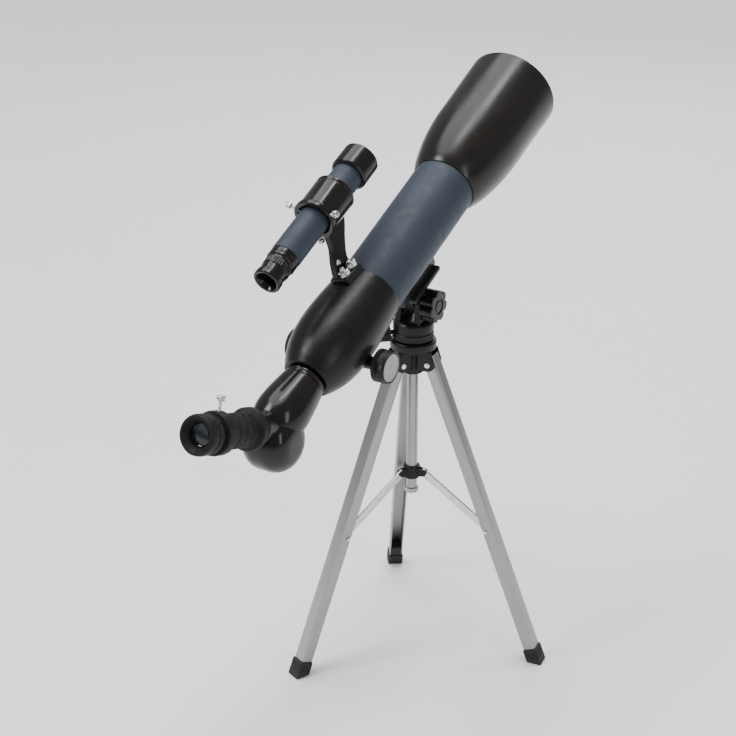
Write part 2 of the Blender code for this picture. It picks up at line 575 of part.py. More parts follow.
# ---------------------------------------------------------------- tripod
def crown(pan):
    top = -(HINGE_DROP - 20 * MM) - GAP
    hub = [(0, -66 * MM), (8.5 * MM, -66 * MM), (9.5 * MM, -65 * MM), (9.5 * MM, -44.8 * MM),
           (CROWN_RADIUS, -42.5 * MM), (CROWN_RADIUS, top - MM), (CROWN_RADIUS - MM, top),
           (8 * MM, top), (8 * MM, top + 9.4 * MM), (0, top + 9.4 * MM)]
    piece = place("crown", turned(hub, FINE), pan, SATIN_BLACK)
    tongue = [(8 * MM, -8 * MM)] + arc((HINGE_RADIUS, 0), 5.2 * MM, -90, 90, 8) + [(8 * MM, 7 * MM)]
    cheek = [(7 * MM, 12 * MM), (7 * MM, -7 * MM)] + arc((HINGE_RADIUS, 0), 6.4 * MM, -90, 30, 5)
    cheek.append((19.6 * MM, 12 * MM))
    width = CHANNEL_WIDTH / 2 - CHANNEL_WALL - 0.4 * MM
    for azimuth in LEG_AZIMUTHS:
        at = (0, 0, -HINGE_DROP)
        # Local X of the tongue and the cheeks runs outward and local Y up.
        for low, high, outline in ((-width, width, tongue), (CHEEK_INNER, CHEEK_OUTER, cheek),
                                   (-CHEEK_OUTER, -CHEEK_INNER, cheek)):
            unite(piece, slab(outline, low, high), at, (pi / 2, 0, azimuth), pan)
        spot = (HINGE_RADIUS * cos(azimuth), HINGE_RADIUS * sin(azimuth), -HINGE_DROP)
        cut(piece, rod(1.9 * MM, -12 * MM, 12 * MM, 12), spot, (pi / 2, 0, azimuth), pan)
    cut(piece, rod(POST_RADIUS + GAP, -80 * MM, -52 * MM, MEDIUM), parent=pan)


def leg_frame(number, stand):
    """Frame on a hinge pin: local X outward, local Z up along the leg."""
    azimuth = LEG_AZIMUTHS[number]
    spot = (HINGE_RADIUS * cos(azimuth), HINGE_RADIUS * sin(azimuth), HINGE_HEIGHT)
    plan = frame(f"leg_plan_{number + 1}", stand, spot, (0, 0, azimuth))
    return frame(f"leg_axis_{number + 1}", plan, turn=(0, -LEG_TILT, 0))


def leg(number, axis):
    back = HINGE_INSET
    side = CHANNEL_WIDTH / 2
    inner = side - CHANNEL_WALL
    section = [(back, -side), (back, side), (back - CHANNEL_DEPTH, side), (back - CHANNEL_DEPTH, inner),
               (back - CHANNEL_WALL, inner), (back - CHANNEL_WALL, -inner),
               (back - CHANNEL_DEPTH, -inner), (back - CHANNEL_DEPTH, -side)]
    channel = slab(section, -(LEG_LENGTH - 14 * MM), 6.5 * MM)
    piece = place(f"leg_{number}", channel, axis, ALUMINIUM)
    across = (pi / 2, 0, 0)
    cut(piece, rod(1.9 * MM, -9 * MM, 9 * MM, 12), turn=across)
    spot = (HINGE_INSET - BRACE_PIN_INSET, 0, -BRACE_PIN_ALONG)
    cut(piece, rod(1.4 * MM, -9 * MM, 9 * MM, 12), spot, across)
    for name, radius, head, half, where in (("hinge_pin", 1.5, 2.7, CHEEK_OUTER + GAP, (0, 0, 0)),
                                            ("brace_pin", 1.1, 2.1, side + GAP, spot)):
        end = half + 1.1 * MM
        rivet = [(0, -end), (head * MM * 0.6, -end), (head * MM, -half), (radius * MM, -half),
                 (radius * MM, half), (head * MM, half), (head * MM * 0.6, end), (0, end)]
        place(f"{name}_{number}", turned(rivet, 10), axis, BRIGHT_METAL, where, across)
    foot(number, axis)


def foot(number, axis):
    """Rubber foot, level on the floor when the leg is spread."""
    back = HINGE_INSET
    outer = back + MM
    inner = back - CHANNEL_DEPTH - MM
    slope = tan(LEG_TILT)
    floor = -LEG_LENGTH
    top = -(LEG_LENGTH - 14 * MM) - GAP
    outline = [(outer, top), (inner, top), (inner, floor - inner * slope), (outer, floor - outer * slope)]
    half = CHANNEL_WIDTH / 2 + MM
    piece = place(f"foot_{number}", slab(outline, -half, half), axis, DULL_BLACK, turn=(pi / 2, 0, 0))
    fit = CHANNEL_WIDTH / 2 - CHANNEL_WALL - GAP
    low = (back - CHANNEL_DEPTH + GAP, -fit, top - 2 * MM)
    plug = box(low, (back - CHANNEL_WALL - GAP, fit, top + 12 * MM))
    unite(piece, plug, parent=axis)


def brace_layout():
    """Radius and height of the brace pins, brace length and hub pin height, at rest."""
    inset = HINGE_INSET - BRACE_PIN_INSET
    radius = HINGE_RADIUS + BRACE_PIN_ALONG * sin(LEG_TILT) + inset * cos(LEG_TILT)
    height = HINGE_HEIGHT - BRACE_PIN_ALONG * cos(LEG_TILT) + inset * sin(LEG_TILT)
    length = (radius - HUB_PIN_RADIUS) / cos(BRACE_ANGLE)
    return radius, height, length, height + length * sin(BRACE_ANGLE)


def braces(stand):
    _radius, _height, length, hub_height = brace_layout()
    half = 3.5 * MM
    thick = MM
    for number, azimuth in enumerate(LEG_AZIMUTHS, 1):
        spot = (HUB_PIN_RADIUS * cos(azimuth), HUB_PIN_RADIUS * sin(azimuth), hub_height)
        plan = frame(f"brace_plan_{number}", stand, spot, (0, 0, azimuth))
        axis = frame(f"brace_axis_{number}", plan, turn=(0, BRACE_ANGLE, 0))
        piece = place(f"brace_{number}", slab(capsule(length, half), -thick, thick), axis,
                      BRIGHT_METAL, turn=(pi / 2, 0, 0))
        cut(piece, rod(1.4 * MM, -3 * MM, 3 * MM, 12))
        slot = slab(capsule(BRACE_SLOT, 2.15 * MM, 5), -3 * MM, 3 * MM)
        cut(piece, slot, (length - BRACE_SLOT, 0, 0))


def spreader(stand):
    _radius, _height, _length, hub_height = brace_layout()
    inner = POST_RADIUS + 0.4 * MM
    ring = [(inner, -6 * MM), (7.0 * MM, -6 * MM), (7.6 * MM, -5.4 * MM), (7.6 * MM, 5.4 * MM),
            (7.0 * MM, 6 * MM), (inner, 6 * MM)]
    piece = place("spreader_hub", turned(ring, MEDIUM), stand, SATIN_BLACK, (0, 0, hub_height))
    ear = [(6.2 * MM, -4 * MM)] + arc((HUB_PIN_RADIUS, 0), 3.0 * MM, -90, 90, 6) + [(6.2 * MM, 4 * MM)]
    for azimuth in LEG_AZIMUTHS:
        for low in (-3.2 * MM, 1.3 * MM):
            unite(piece, slab(ear, low, low + 1.9 * MM), turn=(pi / 2, 0, azimuth))
        spot = (HUB_PIN_RADIUS * cos(azimuth), HUB_PIN_RADIUS * sin(azimuth), 0)
        unite(piece, rod(MM, -3.0 * MM, 3.0 * MM, 10), spot, (pi / 2, 0, azimuth))
    top = PIVOT_HEIGHT - 52.6 * MM
    low = hub_height - 16 * MM
    post = [(0, low - 5 * MM), (5.6 * MM, low - 5 * MM), (6.4 * MM, low - 4 * MM), (6.4 * MM, low),
            (POST_RADIUS, low), (POST_RADIUS, top), (0, top)]
    place("centre_post", turned(post, MEDIUM), stand, ALUMINIUM)


# ---------------------------------------------------------------- assembly
def main():
    for old in list(bpy.data.objects):
        bpy.data.objects.remove(old, do_unlink=True)
    stand, pan, tilt, optical, focus, eyepiece, bracket, finder = build_frames()
    main_tube(optical)
    dew_shield(optical)
    objective(optical)
    rear_cell(optical, focus)
    mount_shoe(optical)
    drawtube(optical)
    pinion_shaft(focus)
    focus_knobs(focus)
    diagonal_housing(optical, eyepiece)
    diagonal_prism(optical)
    eyepiece_holder(eyepiece)
    eyepiece_set(eyepiece)
    finder_bracket(bracket, finder)
    finder_fittings(bracket, finder)
    finder_scope(finder)
    tilt_platform(tilt, optical)
    pan_base(pan)
    head_knobs(pan)
    crown(pan)
    for number in range(3):
        leg(number + 1, leg_frame(number, stand))
    braces(stand)
    spreader(stand)


main()
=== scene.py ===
"""Looks for the table-top telescope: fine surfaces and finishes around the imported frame."""
import json
from math import atan2, cos, hypot, pi, radians, sin, tan

import bmesh
import bpy
from mathutils import Matrix, Vector


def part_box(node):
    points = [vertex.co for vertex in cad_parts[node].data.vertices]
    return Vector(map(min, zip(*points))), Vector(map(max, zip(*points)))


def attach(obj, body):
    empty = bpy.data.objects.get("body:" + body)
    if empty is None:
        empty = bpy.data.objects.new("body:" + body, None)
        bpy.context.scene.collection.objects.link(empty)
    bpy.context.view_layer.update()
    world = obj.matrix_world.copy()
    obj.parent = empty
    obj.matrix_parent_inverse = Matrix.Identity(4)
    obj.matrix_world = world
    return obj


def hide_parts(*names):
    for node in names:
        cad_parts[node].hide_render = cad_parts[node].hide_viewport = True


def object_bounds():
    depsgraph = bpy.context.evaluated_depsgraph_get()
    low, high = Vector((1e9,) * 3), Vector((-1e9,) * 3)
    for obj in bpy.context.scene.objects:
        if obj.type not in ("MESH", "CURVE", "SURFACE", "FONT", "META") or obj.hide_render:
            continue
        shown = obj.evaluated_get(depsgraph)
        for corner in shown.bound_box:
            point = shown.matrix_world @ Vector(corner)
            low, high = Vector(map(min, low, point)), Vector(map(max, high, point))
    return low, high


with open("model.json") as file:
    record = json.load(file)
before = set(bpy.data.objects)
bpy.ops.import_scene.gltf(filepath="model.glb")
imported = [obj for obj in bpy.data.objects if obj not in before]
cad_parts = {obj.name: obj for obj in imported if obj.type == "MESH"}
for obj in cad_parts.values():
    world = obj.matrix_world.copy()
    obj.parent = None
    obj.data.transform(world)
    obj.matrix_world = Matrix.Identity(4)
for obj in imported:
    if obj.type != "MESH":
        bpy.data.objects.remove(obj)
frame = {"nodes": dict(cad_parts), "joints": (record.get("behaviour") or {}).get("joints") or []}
cad_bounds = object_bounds()

MM = 0.001
ROUND = 128                      # sides of large, middling and small round pieces
MIDDLE = 72
SMALL = 36

# ---------------------------------------------------------------- design sizes
TUBE_RADIUS = 28 * MM
TUBE_WALL = 1.2 * MM
TUBE_REAR = -36 * MM             # stations along the optical axis
TUBE_FRONT = 102 * MM
SHIELD_FRONT = 240 * MM
SHIELD_RADIUS = 42 * MM
SHIELD_WALL = 1.8 * MM
CELL_REAR = -138 * MM
CELL_RADIUS = 28.8 * MM
CELL_END_RADIUS = 19.6 * MM
CELL_WALL = 2.4 * MM
LENS_RADIUS = 25 * MM
DRAWTUBE_RADIUS = 15 * MM
DRAWTUBE_BORE = 13.2 * MM
GEAR_MODULE = 0.8 * MM
PINION_TEETH = 9
RACK_TEETH = 28
FOCUS_STATION = -90 * MM
FOCUS_DROP = 21 * MM
KNOB_RADIUS = 13.75 * MM
KNOB_INNER = 34 * MM
KNOB_OUTER = 47 * MM
ELBOW_STATION = -190 * MM
BEND = radians(43)
BARREL_RADIUS = 17.2 * MM
BELLY_RADIUS = 24.5 * MM
BELLY_HALF_WIDTH = 21 * MM
BELLY_CORNER = 17 * MM
BELLY_OFFSET = 12.5 * MM
EYE_END = 102 * MM
FINDER_RADIUS = 12.6 * MM
FINDER_REAR = -118 * MM
FINDER_FRONT = 35 * MM
FINDER_DISTANCE = 84 * MM
FINDER_SCREW_STATION = -41.7 * MM
PIVOT_DROP = 62 * MM
TURNTABLE_RADIUS = 18 * MM
HINGE_DROP = 54 * MM
HINGE_RADIUS = 17 * MM
CROWN_RADIUS = 20.5 * MM
CHEEK_INNER = 6.65 * MM
CHEEK_OUTER = 9.2 * MM
LEG_LENGTH = 300 * MM
LEG_TILT = radians(21)
CHANNEL_WIDTH = 12.6 * MM
CHANNEL_DEPTH = 11 * MM
CHANNEL_WALL = 1.2 * MM
HINGE_INSET = 6.9 * MM
BRACE_PIN_ALONG = 165 * MM
BRACE_PIN_INSET = 8.5 * MM
BRACE_ANGLE = radians(35)
BRACE_SLOT = 4.5 * MM
HUB_PIN_RADIUS = 11.7 * MM
POST_RADIUS = 5 * MM
GAP = 0.3 * MM


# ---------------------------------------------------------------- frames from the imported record
JOINTS = {joint["name"]: joint for joint in frame["joints"]}
RIGHT = Vector((1, 0, 0))


def joint_place(name):
    return Vector(JOINTS[name]["pos_m"])


def joint_axis(name):
    return Vector(JOINTS[name]["axis"]).normalized()


def basis(origin, x_axis, z_axis):
    """Placement whose local X and Z are the given directions."""
    y_axis = z_axis.cross(x_axis)
    turn = Matrix((x_axis, y_axis, z_axis)).transposed().to_4x4()
    return Matrix.Translation(origin) @ turn


SKYWARD = -joint_axis("focus_slide")
TUBE_ORIGIN = joint_place("diagonal_turn") - ELBOW_STATION * SKYWARD
OPTICAL = basis(TUBE_ORIGIN, RIGHT, SKYWARD)
FOCUS = OPTICAL @ Matrix.Translation((0, FOCUS_DROP, FOCUS_STATION)) @ Matrix.Rotation(pi / 2, 4, "Y")
EYEPIECE = basis(joint_place("diagonal_turn"), RIGHT, joint_axis("eyepiece_slide"))
FINDER_ORIGIN = joint_place("finder_screw_1_turn") - FINDER_SCREW_STATION * SKYWARD
FINDER_OUT = (FINDER_ORIGIN - TUBE_ORIGIN).normalized()
FINDER_SIDE = FINDER_OUT.cross(-SKYWARD)
FINDER = basis(FINDER_ORIGIN, FINDER_SIDE, SKYWARD)
BRACKET = basis(TUBE_ORIGIN, FINDER_SIDE, SKYWARD)
PIVOT = joint_place("tilt")
HEAD = Matrix.Translation(PIVOT)
TILT = Matrix.Translation(PIVOT) @ Matrix.Rotation(SKYWARD.angle(Vector((0, 1, 0))), 4, "X")
STAND = Matrix.Translation((PIVOT.x, PIVOT.y, 0))
HUB_HEIGHT = joint_place("brace_fold_1").z


def turn_about(axis, angle):
    return Matrix.Rotation(angle, 4, axis)


def moved(x=0.0, y=0.0, z=0.0):
    return Matrix.Translation((x, y, z))


HERE = Matrix.Identity(4)
ALONG_X = turn_about("Y", pi / 2)
PAN_KNOB_WAY = turn_about("Z", radians(222)) @ ALONG_X
FINDER_SCREW_TURNS = (radians(-50), radians(85), radians(-160))
HINGES = [joint_place(f"leg_fold_{number}") - PIVOT for number in (1, 2, 3)]
AZIMUTHS = [atan2(spot.y, spot.x) for spot in HINGES]


# ---------------------------------------------------------------- node materials
class Finish:
    """A Principled material that the helpers below add detail to."""

    def __init__(self, name, colour, roughness, metallic=0.0):
        self.made = bpy.data.materials.new(name)
        self.made.use_nodes = True
        self.tree = self.made.node_tree
        self.shader = self.tree.nodes["Principled BSDF"]
        self.colour = colour
        self.set("Base Color", (*colour, 1))
        self.set("Roughness", roughness)
        self.set("Metallic", metallic)
        self.place = self.node("ShaderNodeTexCoord").outputs["Object"]
        self.bump = None

    def node(self, kind, **values):
        made = self.tree.nodes.new(kind)
        for key, value in values.items():
            setattr(made, key, value)
        return made

    def link(self, source, target):
        self.tree.links.new(source, target)

    def set(self, socket, value):
        self.shader.inputs[socket].default_value = value

    def noise(self, size, stretch=(1, 1, 1), detail=3.0):
        """Noise whose features are about size metres across, drawn out by stretch."""
        mapping = self.node("ShaderNodeMapping")
        mapping.inputs["Scale"].default_value = [1 / (size * part) for part in stretch]
        self.link(self.place, mapping.inputs["Vector"])
        made = self.node("ShaderNodeTexNoise")
        made.inputs["Scale"].default_value = 1.0
        made.inputs["Detail"].default_value = detail
        self.link(mapping.outputs["Vector"], made.inputs["Vector"])
        return made.outputs["Fac"]

    def ranged(self, source, low, high, start=0.3, end=0.7):
        made = self.node("ShaderNodeMapRange")
        for socket, value in (("From Min", start), ("From Max", end), ("To Min", low), ("To Max", high)):
            made.inputs[socket].default_value = value
        self.link(source, made.inputs["Value"])
        return made.outputs["Result"]

    def vary_roughness(self, source, low, high):
        self.link(self.ranged(source, low, high), self.shader.inputs["Roughness"])

    def blend_colour(self, source, other, low=0.0, high=1.0, start=0.35, end=0.65):
        """Mixes another colour over the present one where the source is high."""
        mix = self.node("ShaderNodeMix", data_type="RGBA")
        self.link(self.ranged(source, low, high, start, end), mix.inputs["Factor"])
        present = self.shader.inputs["Base Color"]
        if present.links:
            self.link(present.links[0].from_socket, mix.inputs["A"])
        else:
            mix.inputs["A"].default_value = (*self.colour, 1)
        mix.inputs["B"].default_value = (*other, 1)
        self.link(mix.outputs["Result"], present)

    def add_bump(self, source, height, strength=1.0):
        made = self.node("ShaderNodeBump")
        made.inputs["Strength"].default_value = strength
        made.inputs["Distance"].default_value = height
        self.link(source, made.inputs["Height"])
        if self.bump:
            self.link(self.bump.outputs["Normal"], made.inputs["Normal"])
        self.bump = made
        self.link(made.outputs["Normal"], self.shader.inputs["Normal"])

    def wear_edges(self, colour, amount=0.5):
        """Lightens corners that hands and tables rub."""
        sharp = self.node("ShaderNodeNewGeometry").outputs["Pointiness"]
        self.blend_colour(sharp, colour, 0.0, amount, 0.52, 0.60)


def painted_blue():
    made = Finish("tube_blue_paint", (0.030, 0.040, 0.059), 0.55)
    made.blend_colour(made.noise(60 * MM, detail=2), (0.035, 0.046, 0.067))
    made.blend_colour(made.noise(0.5 * MM, detail=4), (0.026, 0.035, 0.052), 0.0, 0.5)
    made.vary_roughness(made.noise(9 * MM), 0.48, 0.62)
    made.add_bump(made.noise(0.8 * MM), 0.03 * MM)
    made.set("Specular IOR Level", 0.3)
    return made.made


# The warm brown tint in these black colours is a painted warm reflection; the plastic itself is plain black.
def gloss_plastic(name, colour=(0.0075, 0.0062, 0.0052), rough=(0.10, 0.22)):
    made = Finish(name, colour, 0.16)
    made.blend_colour(made.noise(25 * MM, detail=3), (0.012, 0.0096, 0.0078), 0.0, 0.8)
    made.vary_roughness(made.noise(14 * MM, (1, 1, 3)), *rough)
    made.add_bump(made.noise(22 * MM, detail=1), 0.10 * MM, 0.5)
    made.add_bump(made.noise(0.6 * MM), 0.004 * MM)
    made.wear_edges((0.035, 0.031, 0.028), 0.3)
    made.set("Specular IOR Level", 0.32)
    return made.made


def satin_plastic():
    made = Finish("satin_black_plastic", (0.0075, 0.0075, 0.0078), 0.4)
    made.blend_colour(made.noise(18 * MM), (0.0115, 0.0115, 0.012), 0.0, 0.7)
    made.vary_roughness(made.noise(6 * MM), 0.27, 0.38)
    made.add_bump(made.noise(0.45 * MM, detail=2), 0.035 * MM)
    made.wear_edges((0.045, 0.045, 0.047), 0.4)
    made.set("Specular IOR Level", 0.22)
    return made.made


def dull_plastic():
    made = Finish("dull_black_plastic", (0.0085, 0.0085, 0.0085), 0.58)
    made.blend_colour(made.noise(12 * MM), (0.0135, 0.0135, 0.0135), 0.0, 0.7)
    made.vary_roughness(made.noise(5 * MM), 0.48, 0.66)
    made.add_bump(made.noise(0.35 * MM, detail=2), 0.05 * MM)
    made.wear_edges((0.05, 0.05, 0.052), 0.4)
    made.set("Specular IOR Level", 0.18)
    return made.made


def moulded_rubber():
    made = Finish("foot_rubber_moulded", (0.011, 0.011, 0.011), 0.75)
    made.blend_colour(made.noise(3 * MM), (0.021, 0.0205, 0.0195), 0.0, 0.7)
    made.vary_roughness(made.noise(2 * MM), 0.62, 0.86)
    made.add_bump(made.noise(0.5 * MM), 0.08 * MM)
    return made.made


def brushed_aluminium():
    """Drawn channel: fine lines along local Z."""
    made = Finish("leg_brushed_aluminium", (0.36, 0.365, 0.375), 0.4, 1.0)
    lines = made.noise(0.25 * MM, (1, 1, 400), 4)
    made.blend_colour(lines, (0.28, 0.285, 0.295), 0.0, 0.7)
    made.blend_colour(made.noise(16 * MM, (1, 1, 4)), (0.40, 0.405, 0.41), 0.0, 0.5)
    made.vary_roughness(lines, 0.32, 0.48)
    made.add_bump(lines, 0.015 * MM)
    made.add_bump(made.noise(2.5 * MM), 0.01 * MM, 0.6)
    return made.made


def bright_metal():
    made = Finish("bright_plated_metal", (0.74, 0.74, 0.73), 0.22, 1.0)
    made.blend_colour(made.noise(4 * MM), (0.60, 0.59, 0.57), 0.0, 0.6)
    made.vary_roughness(made.noise(1.2 * MM), 0.14, 0.34)
    made.add_bump(made.noise(0.5 * MM), 0.01 * MM)
    return made.made


def spun_disc():
    """Grey knob face turned on a lathe: fine rings about local Z."""
    made = Finish("knob_grey_disc", (0.27, 0.27, 0.275), 0.34, 0.75)
    waves = made.node("ShaderNodeTexWave", wave_type="RINGS", rings_direction="Z")
    waves.inputs["Scale"].default_value = 900.0
    waves.inputs["Distortion"].default_value = 0.6
    made.link(made.place, waves.inputs["Vector"])
    made.blend_colour(waves.outputs["Fac"], (0.34, 0.34, 0.345), 0.0, 0.6)
    made.vary_roughness(made.noise(3 * MM), 0.28, 0.42)
    made.add_bump(waves.outputs["Fac"], 0.015 * MM)
    return made.made


def coated_glass(name, tint=(0.86, 0.95, 0.97), coat=0.6):
    made = Finish(name, tint, 0.02)
    made.set("Transmission Weight", 1.0)
    made.set("IOR", 1.52)
    made.set("Coat Weight", coat)
    made.set("Coat Roughness", 0.02)
    made.set("Coat Tint", (0.55, 0.75, 1.0, 1))
    made.vary_roughness(made.noise(12 * MM), 0.005, 0.035)
    return made.made


def pale_floor():
    made = Finish("pale_floor", (0.89, 0.89, 0.89), 0.6)
    made.blend_colour(made.noise(0.4), (0.87, 0.872, 0.876), 0.0, 0.6)
    made.vary_roughness(made.noise(0.05), 0.55, 0.7)
    return made.made


# ---------------------------------------------------------------- mesh helpers
def mm(*points):
    """Points given in millimetres."""
    return [(x * MM, y * MM) for x, y in points]


def arc(centre, radius, start, end, steps):
    """Points on an arc, from angle start to angle end in degrees."""
    turns = [radians(start + (end - start) * step / steps) for step in range(steps + 1)]
    return [(centre[0] + radius * cos(a), centre[1] + radius * sin(a)) for a in turns]


def capsule(length, radius, steps=16):
    """A bar outline with round ends, from the origin along +X."""
    return arc((length, 0), radius, -90, 90, steps) + arc((0, 0), radius, 90, 270, steps)


def spaced(start, end, steps):
    return [start + (end - start) * step / steps for step in range(steps + 1)]


def smooth_step(share):
    share = max(0.0, min(1.0, share))
    return share * share * (3 - 2 * share)


def softened(outline, radius, steps=3):
    """The outline with each sharp corner rounded off, at most radius from the corner."""
    closed = outline[0][0] > 0
    points = []
    for index, corner in enumerate(outline):
        here = Vector(corner)
        back = Vector(outline[index - 1]) - here
        ahead = Vector(outline[(index + 1) % len(outline)]) - here
        end = not closed and index in (0, len(outline) - 1)
        if end or back.angle(-ahead) < radians(16):
            points.append(tuple(here))
            continue
        reach = min(radius, back.length * 0.45, ahead.length * 0.45)
        start = here + back.normalized() * reach
        finish = here + ahead.normalized() * reach
        for step in range(steps + 1):
            share = step / steps
            spot = start * (1 - share) ** 2 + here * 2 * share * (1 - share) + finish * share ** 2
            points.append(tuple(spot))
    return points


def turned(outline, sides=ROUND, soft=0.3 * MM):
    """A body of revolution about local Z from (radius, height) points."""
    if soft:
        outline = softened(outline, soft)
    shape = bmesh.new()
    points = [shape.verts.new((radius, 0, height)) for radius, height in outline]
    edges = [shape.edges.new(pair) for pair in zip(points, points[1:])]
    if outline[0][0] > 0:
        edges.append(shape.edges.new((points[-1], points[0])))
    bmesh.ops.spin(
        shape, geom=points + edges, axis=(0, 0, 1), cent=(0, 0, 0),
        steps=sides, angle=2 * pi, use_merge=True)
    bmesh.ops.remove_doubles(shape, verts=shape.verts, dist=1e-7)
    bmesh.ops.recalc_face_normals(shape, faces=shape.faces)
    return shape


def rod(radius, low, high, sides=SMALL):
    return turned([(0, low), (radius, low), (radius, high), (0, high)], sides, 0)


def slab(outline, low, high, bevel=0.3 * MM, segments=3):
    """A flat outline of (x, y) points extruded along local Z, with its corners rounded."""
    shape = bmesh.new()
    base = shape.faces.new([shape.verts.new((x, y, low)) for x, y in outline])
    grown = bmesh.ops.extrude_face_region(shape, geom=[base])
    lifted = [item for item in grown["geom"] if isinstance(item, bmesh.types.BMVert)]
    bmesh.ops.translate(shape, verts=lifted, vec=(0, 0, high - low))
    bmesh.ops.recalc_face_normals(shape, faces=shape.faces)
    if bevel:
        sharp = [edge for edge in shape.edges if edge.calc_face_angle() > radians(28)]
        bmesh.ops.bevel(
            shape, geom=sharp, offset=bevel, segments=segments, profile=0.5,
            affect="EDGES", clamp_overlap=True)
    return shape


def box(low, high, bevel=0.3 * MM):
    corners = [(low[0], low[1]), (high[0], low[1]), (high[0], high[1]), (low[0], high[1])]
    return slab(corners, low[2], high[2], bevel)


def ribbed(shape, low, high, count, depth, outside, edge=0.5 * MM):
    """Presses count grooves along local Z into the skin that lies beyond radius outside."""
    for vert in shape.verts:
        reach = hypot(vert.co.x, vert.co.y)
        fade = smooth_step(min(vert.co.z - low, high - vert.co.z) / edge)
        if reach > outside and fade > 0:
            wave = 0.5 - 0.5 * cos(count * atan2(vert.co.y, vert.co.x))
            share = 1 - depth * fade * wave ** 0.7 / reach
            vert.co.x *= share
            vert.co.y *= share
    return shape


def temporary(shape, place=None):
    mesh = bpy.data.meshes.new("temporary")
    shape.to_mesh(mesh)
    shape.free()
    made = bpy.data.objects.new("temporary", mesh)
    bpy.context.scene.collection.objects.link(made)
    made.matrix_world = place or HERE
    return made


def carved(shape, cuts=(), joins=()):
    """The shape after its joins are united with it and its cuts taken away: (shape, placement) pairs."""
    base = temporary(shape)
    tools = []
    steps = [("UNION", pair) for pair in joins] + [("DIFFERENCE", pair) for pair in cuts]
    for operation, (other, place) in steps:
        tool = temporary(other, place)
        step = base.modifiers.new(operation.lower(), "BOOLEAN")
        step.operation = operation
        step.solver = "EXACT"
        step.object = tool
        tools.append(tool)
    bpy.context.view_layer.update()
    evaluated = base.evaluated_get(bpy.context.evaluated_depsgraph_get())
    result = bmesh.new()
    result.from_mesh(evaluated.to_mesh())
    evaluated.to_mesh_clear()
    for made in [base] + tools:
        bpy.data.objects.remove(made, do_unlink=True)
    return result


def piece(name, shape, place, finish, body, slot, *nodes):
    """Puts a finished shape in place, on its body, standing for the CAD nodes named."""
    mesh = bpy.data.meshes.new(name)
    shape.to_mesh(mesh)
    shape.free()
    made = bpy.data.objects.new(name, mesh)
    bpy.context.scene.collection.objects.link(made)
    made.matrix_world = place
    mesh.materials.append(finish)
    mesh.shade_smooth()
    mesh.set_sharp_from_angle(angle=radians(32))
    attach(made, body)
    if nodes:
        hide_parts(*nodes)
    return made


def keep(node, finish):
    """A CAD node whose shape is right gets its finished material."""
    made = frame["nodes"][node]
    made.data.materials.clear()
    made.data.materials.append(finish)
    made.data.shade_smooth()
    made.data.set_sharp_from_angle(angle=radians(30))


def line_faces(made, finish, chosen):
    """Gives the faces whose centre passes the test a second finish."""
    made.data.materials.append(finish)
    for face in made.data.polygons:
        if chosen(face.center):
            face.material_index = 1


BLUE = painted_blue()
GLOSS = gloss_plastic("gloss_black_plastic")
SATIN = satin_plastic()
DULL = dull_plastic()
RUBBER = moulded_rubber()
ALUMINIUM = brushed_aluminium()
METAL = bright_metal()
DISC = spun_disc()
GLASS = coated_glass("coated_lens_glass")
PLAIN_GLASS = coated_glass("eyepiece_glass", (0.55, 0.57, 0.60), 0.1)
# The browner, lighter colour of the dew shield is a painted warm reflection over black plastic.
SHIELD_GLOSS = gloss_plastic("shield_gloss_plastic", (0.0095, 0.0078, 0.0064), (0.20, 0.34))


# ---------------------------------------------------------------- telescope tube
def shield_radius(station):
    """A rounded shoulder in front of the tube, then almost straight to the rim."""
    share = (station - TUBE_FRONT) / (SHIELD_FRONT - TUBE_FRONT)
    flare = (1 - max(0.0, 1 - share / 0.5) ** 2) ** 0.75
    return TUBE_RADIUS + 0.4 * MM + (SHIELD_RADIUS - 2.0 * MM - TUBE_RADIUS) * flare + 1.6 * MM * share


def dew_shield():
    rear = TUBE_FRONT + GAP
    outer = [(shield_radius(z), z) for z in spaced(rear, SHIELD_FRONT - 1.6 * MM, 56)]
    lip = arc((SHIELD_RADIUS - 0.95 * MM, SHIELD_FRONT - 0.95 * MM), 0.95 * MM, -20, 180, 12)
    stations = spaced(SHIELD_FRONT - 2 * MM, TUBE_FRONT + 16 * MM, 40)
    inner = [(shield_radius(z) - SHIELD_WALL, z) for z in stations]
    collar = [(TUBE_RADIUS - 0.1 * MM, TUBE_FRONT + 13 * MM), (TUBE_RADIUS - 0.1 * MM, rear)]
    made = piece("dew_shield_finish", turned(outer + lip + inner + collar, 160, 0), OPTICAL,
                 SHIELD_GLOSS, "telescope", "gloss_black", "dew_shield")
    line_faces(made, DULL, lambda spot: hypot(spot.x, spot.y) < shield_radius(spot.z) - MM
               and spot.z < SHIELD_FRONT - 3 * MM)


def main_tube():
    inner = TUBE_RADIUS - TUBE_WALL
    stations = spaced(TUBE_REAR, TUBE_FRONT, 12)
    ring = [(TUBE_RADIUS, z) for z in stations] + [(inner, z) for z in reversed(stations)]
    made = piece("painted_tube", turned(ring, 160, 0.25 * MM), OPTICAL, BLUE, "telescope",
                 "blue_paint", "main_tube")
    line_faces(made, DULL, lambda spot: hypot(spot.x, spot.y) < TUBE_RADIUS - 0.6 * MM)


def lens_face(radius, edge, bulge, steps=12):
    """Points of a dome from the axis to the rim, for turning."""
    return [(radius * share, edge + bulge * (1 - share * share)) for share in spaced(0, 1, steps)]


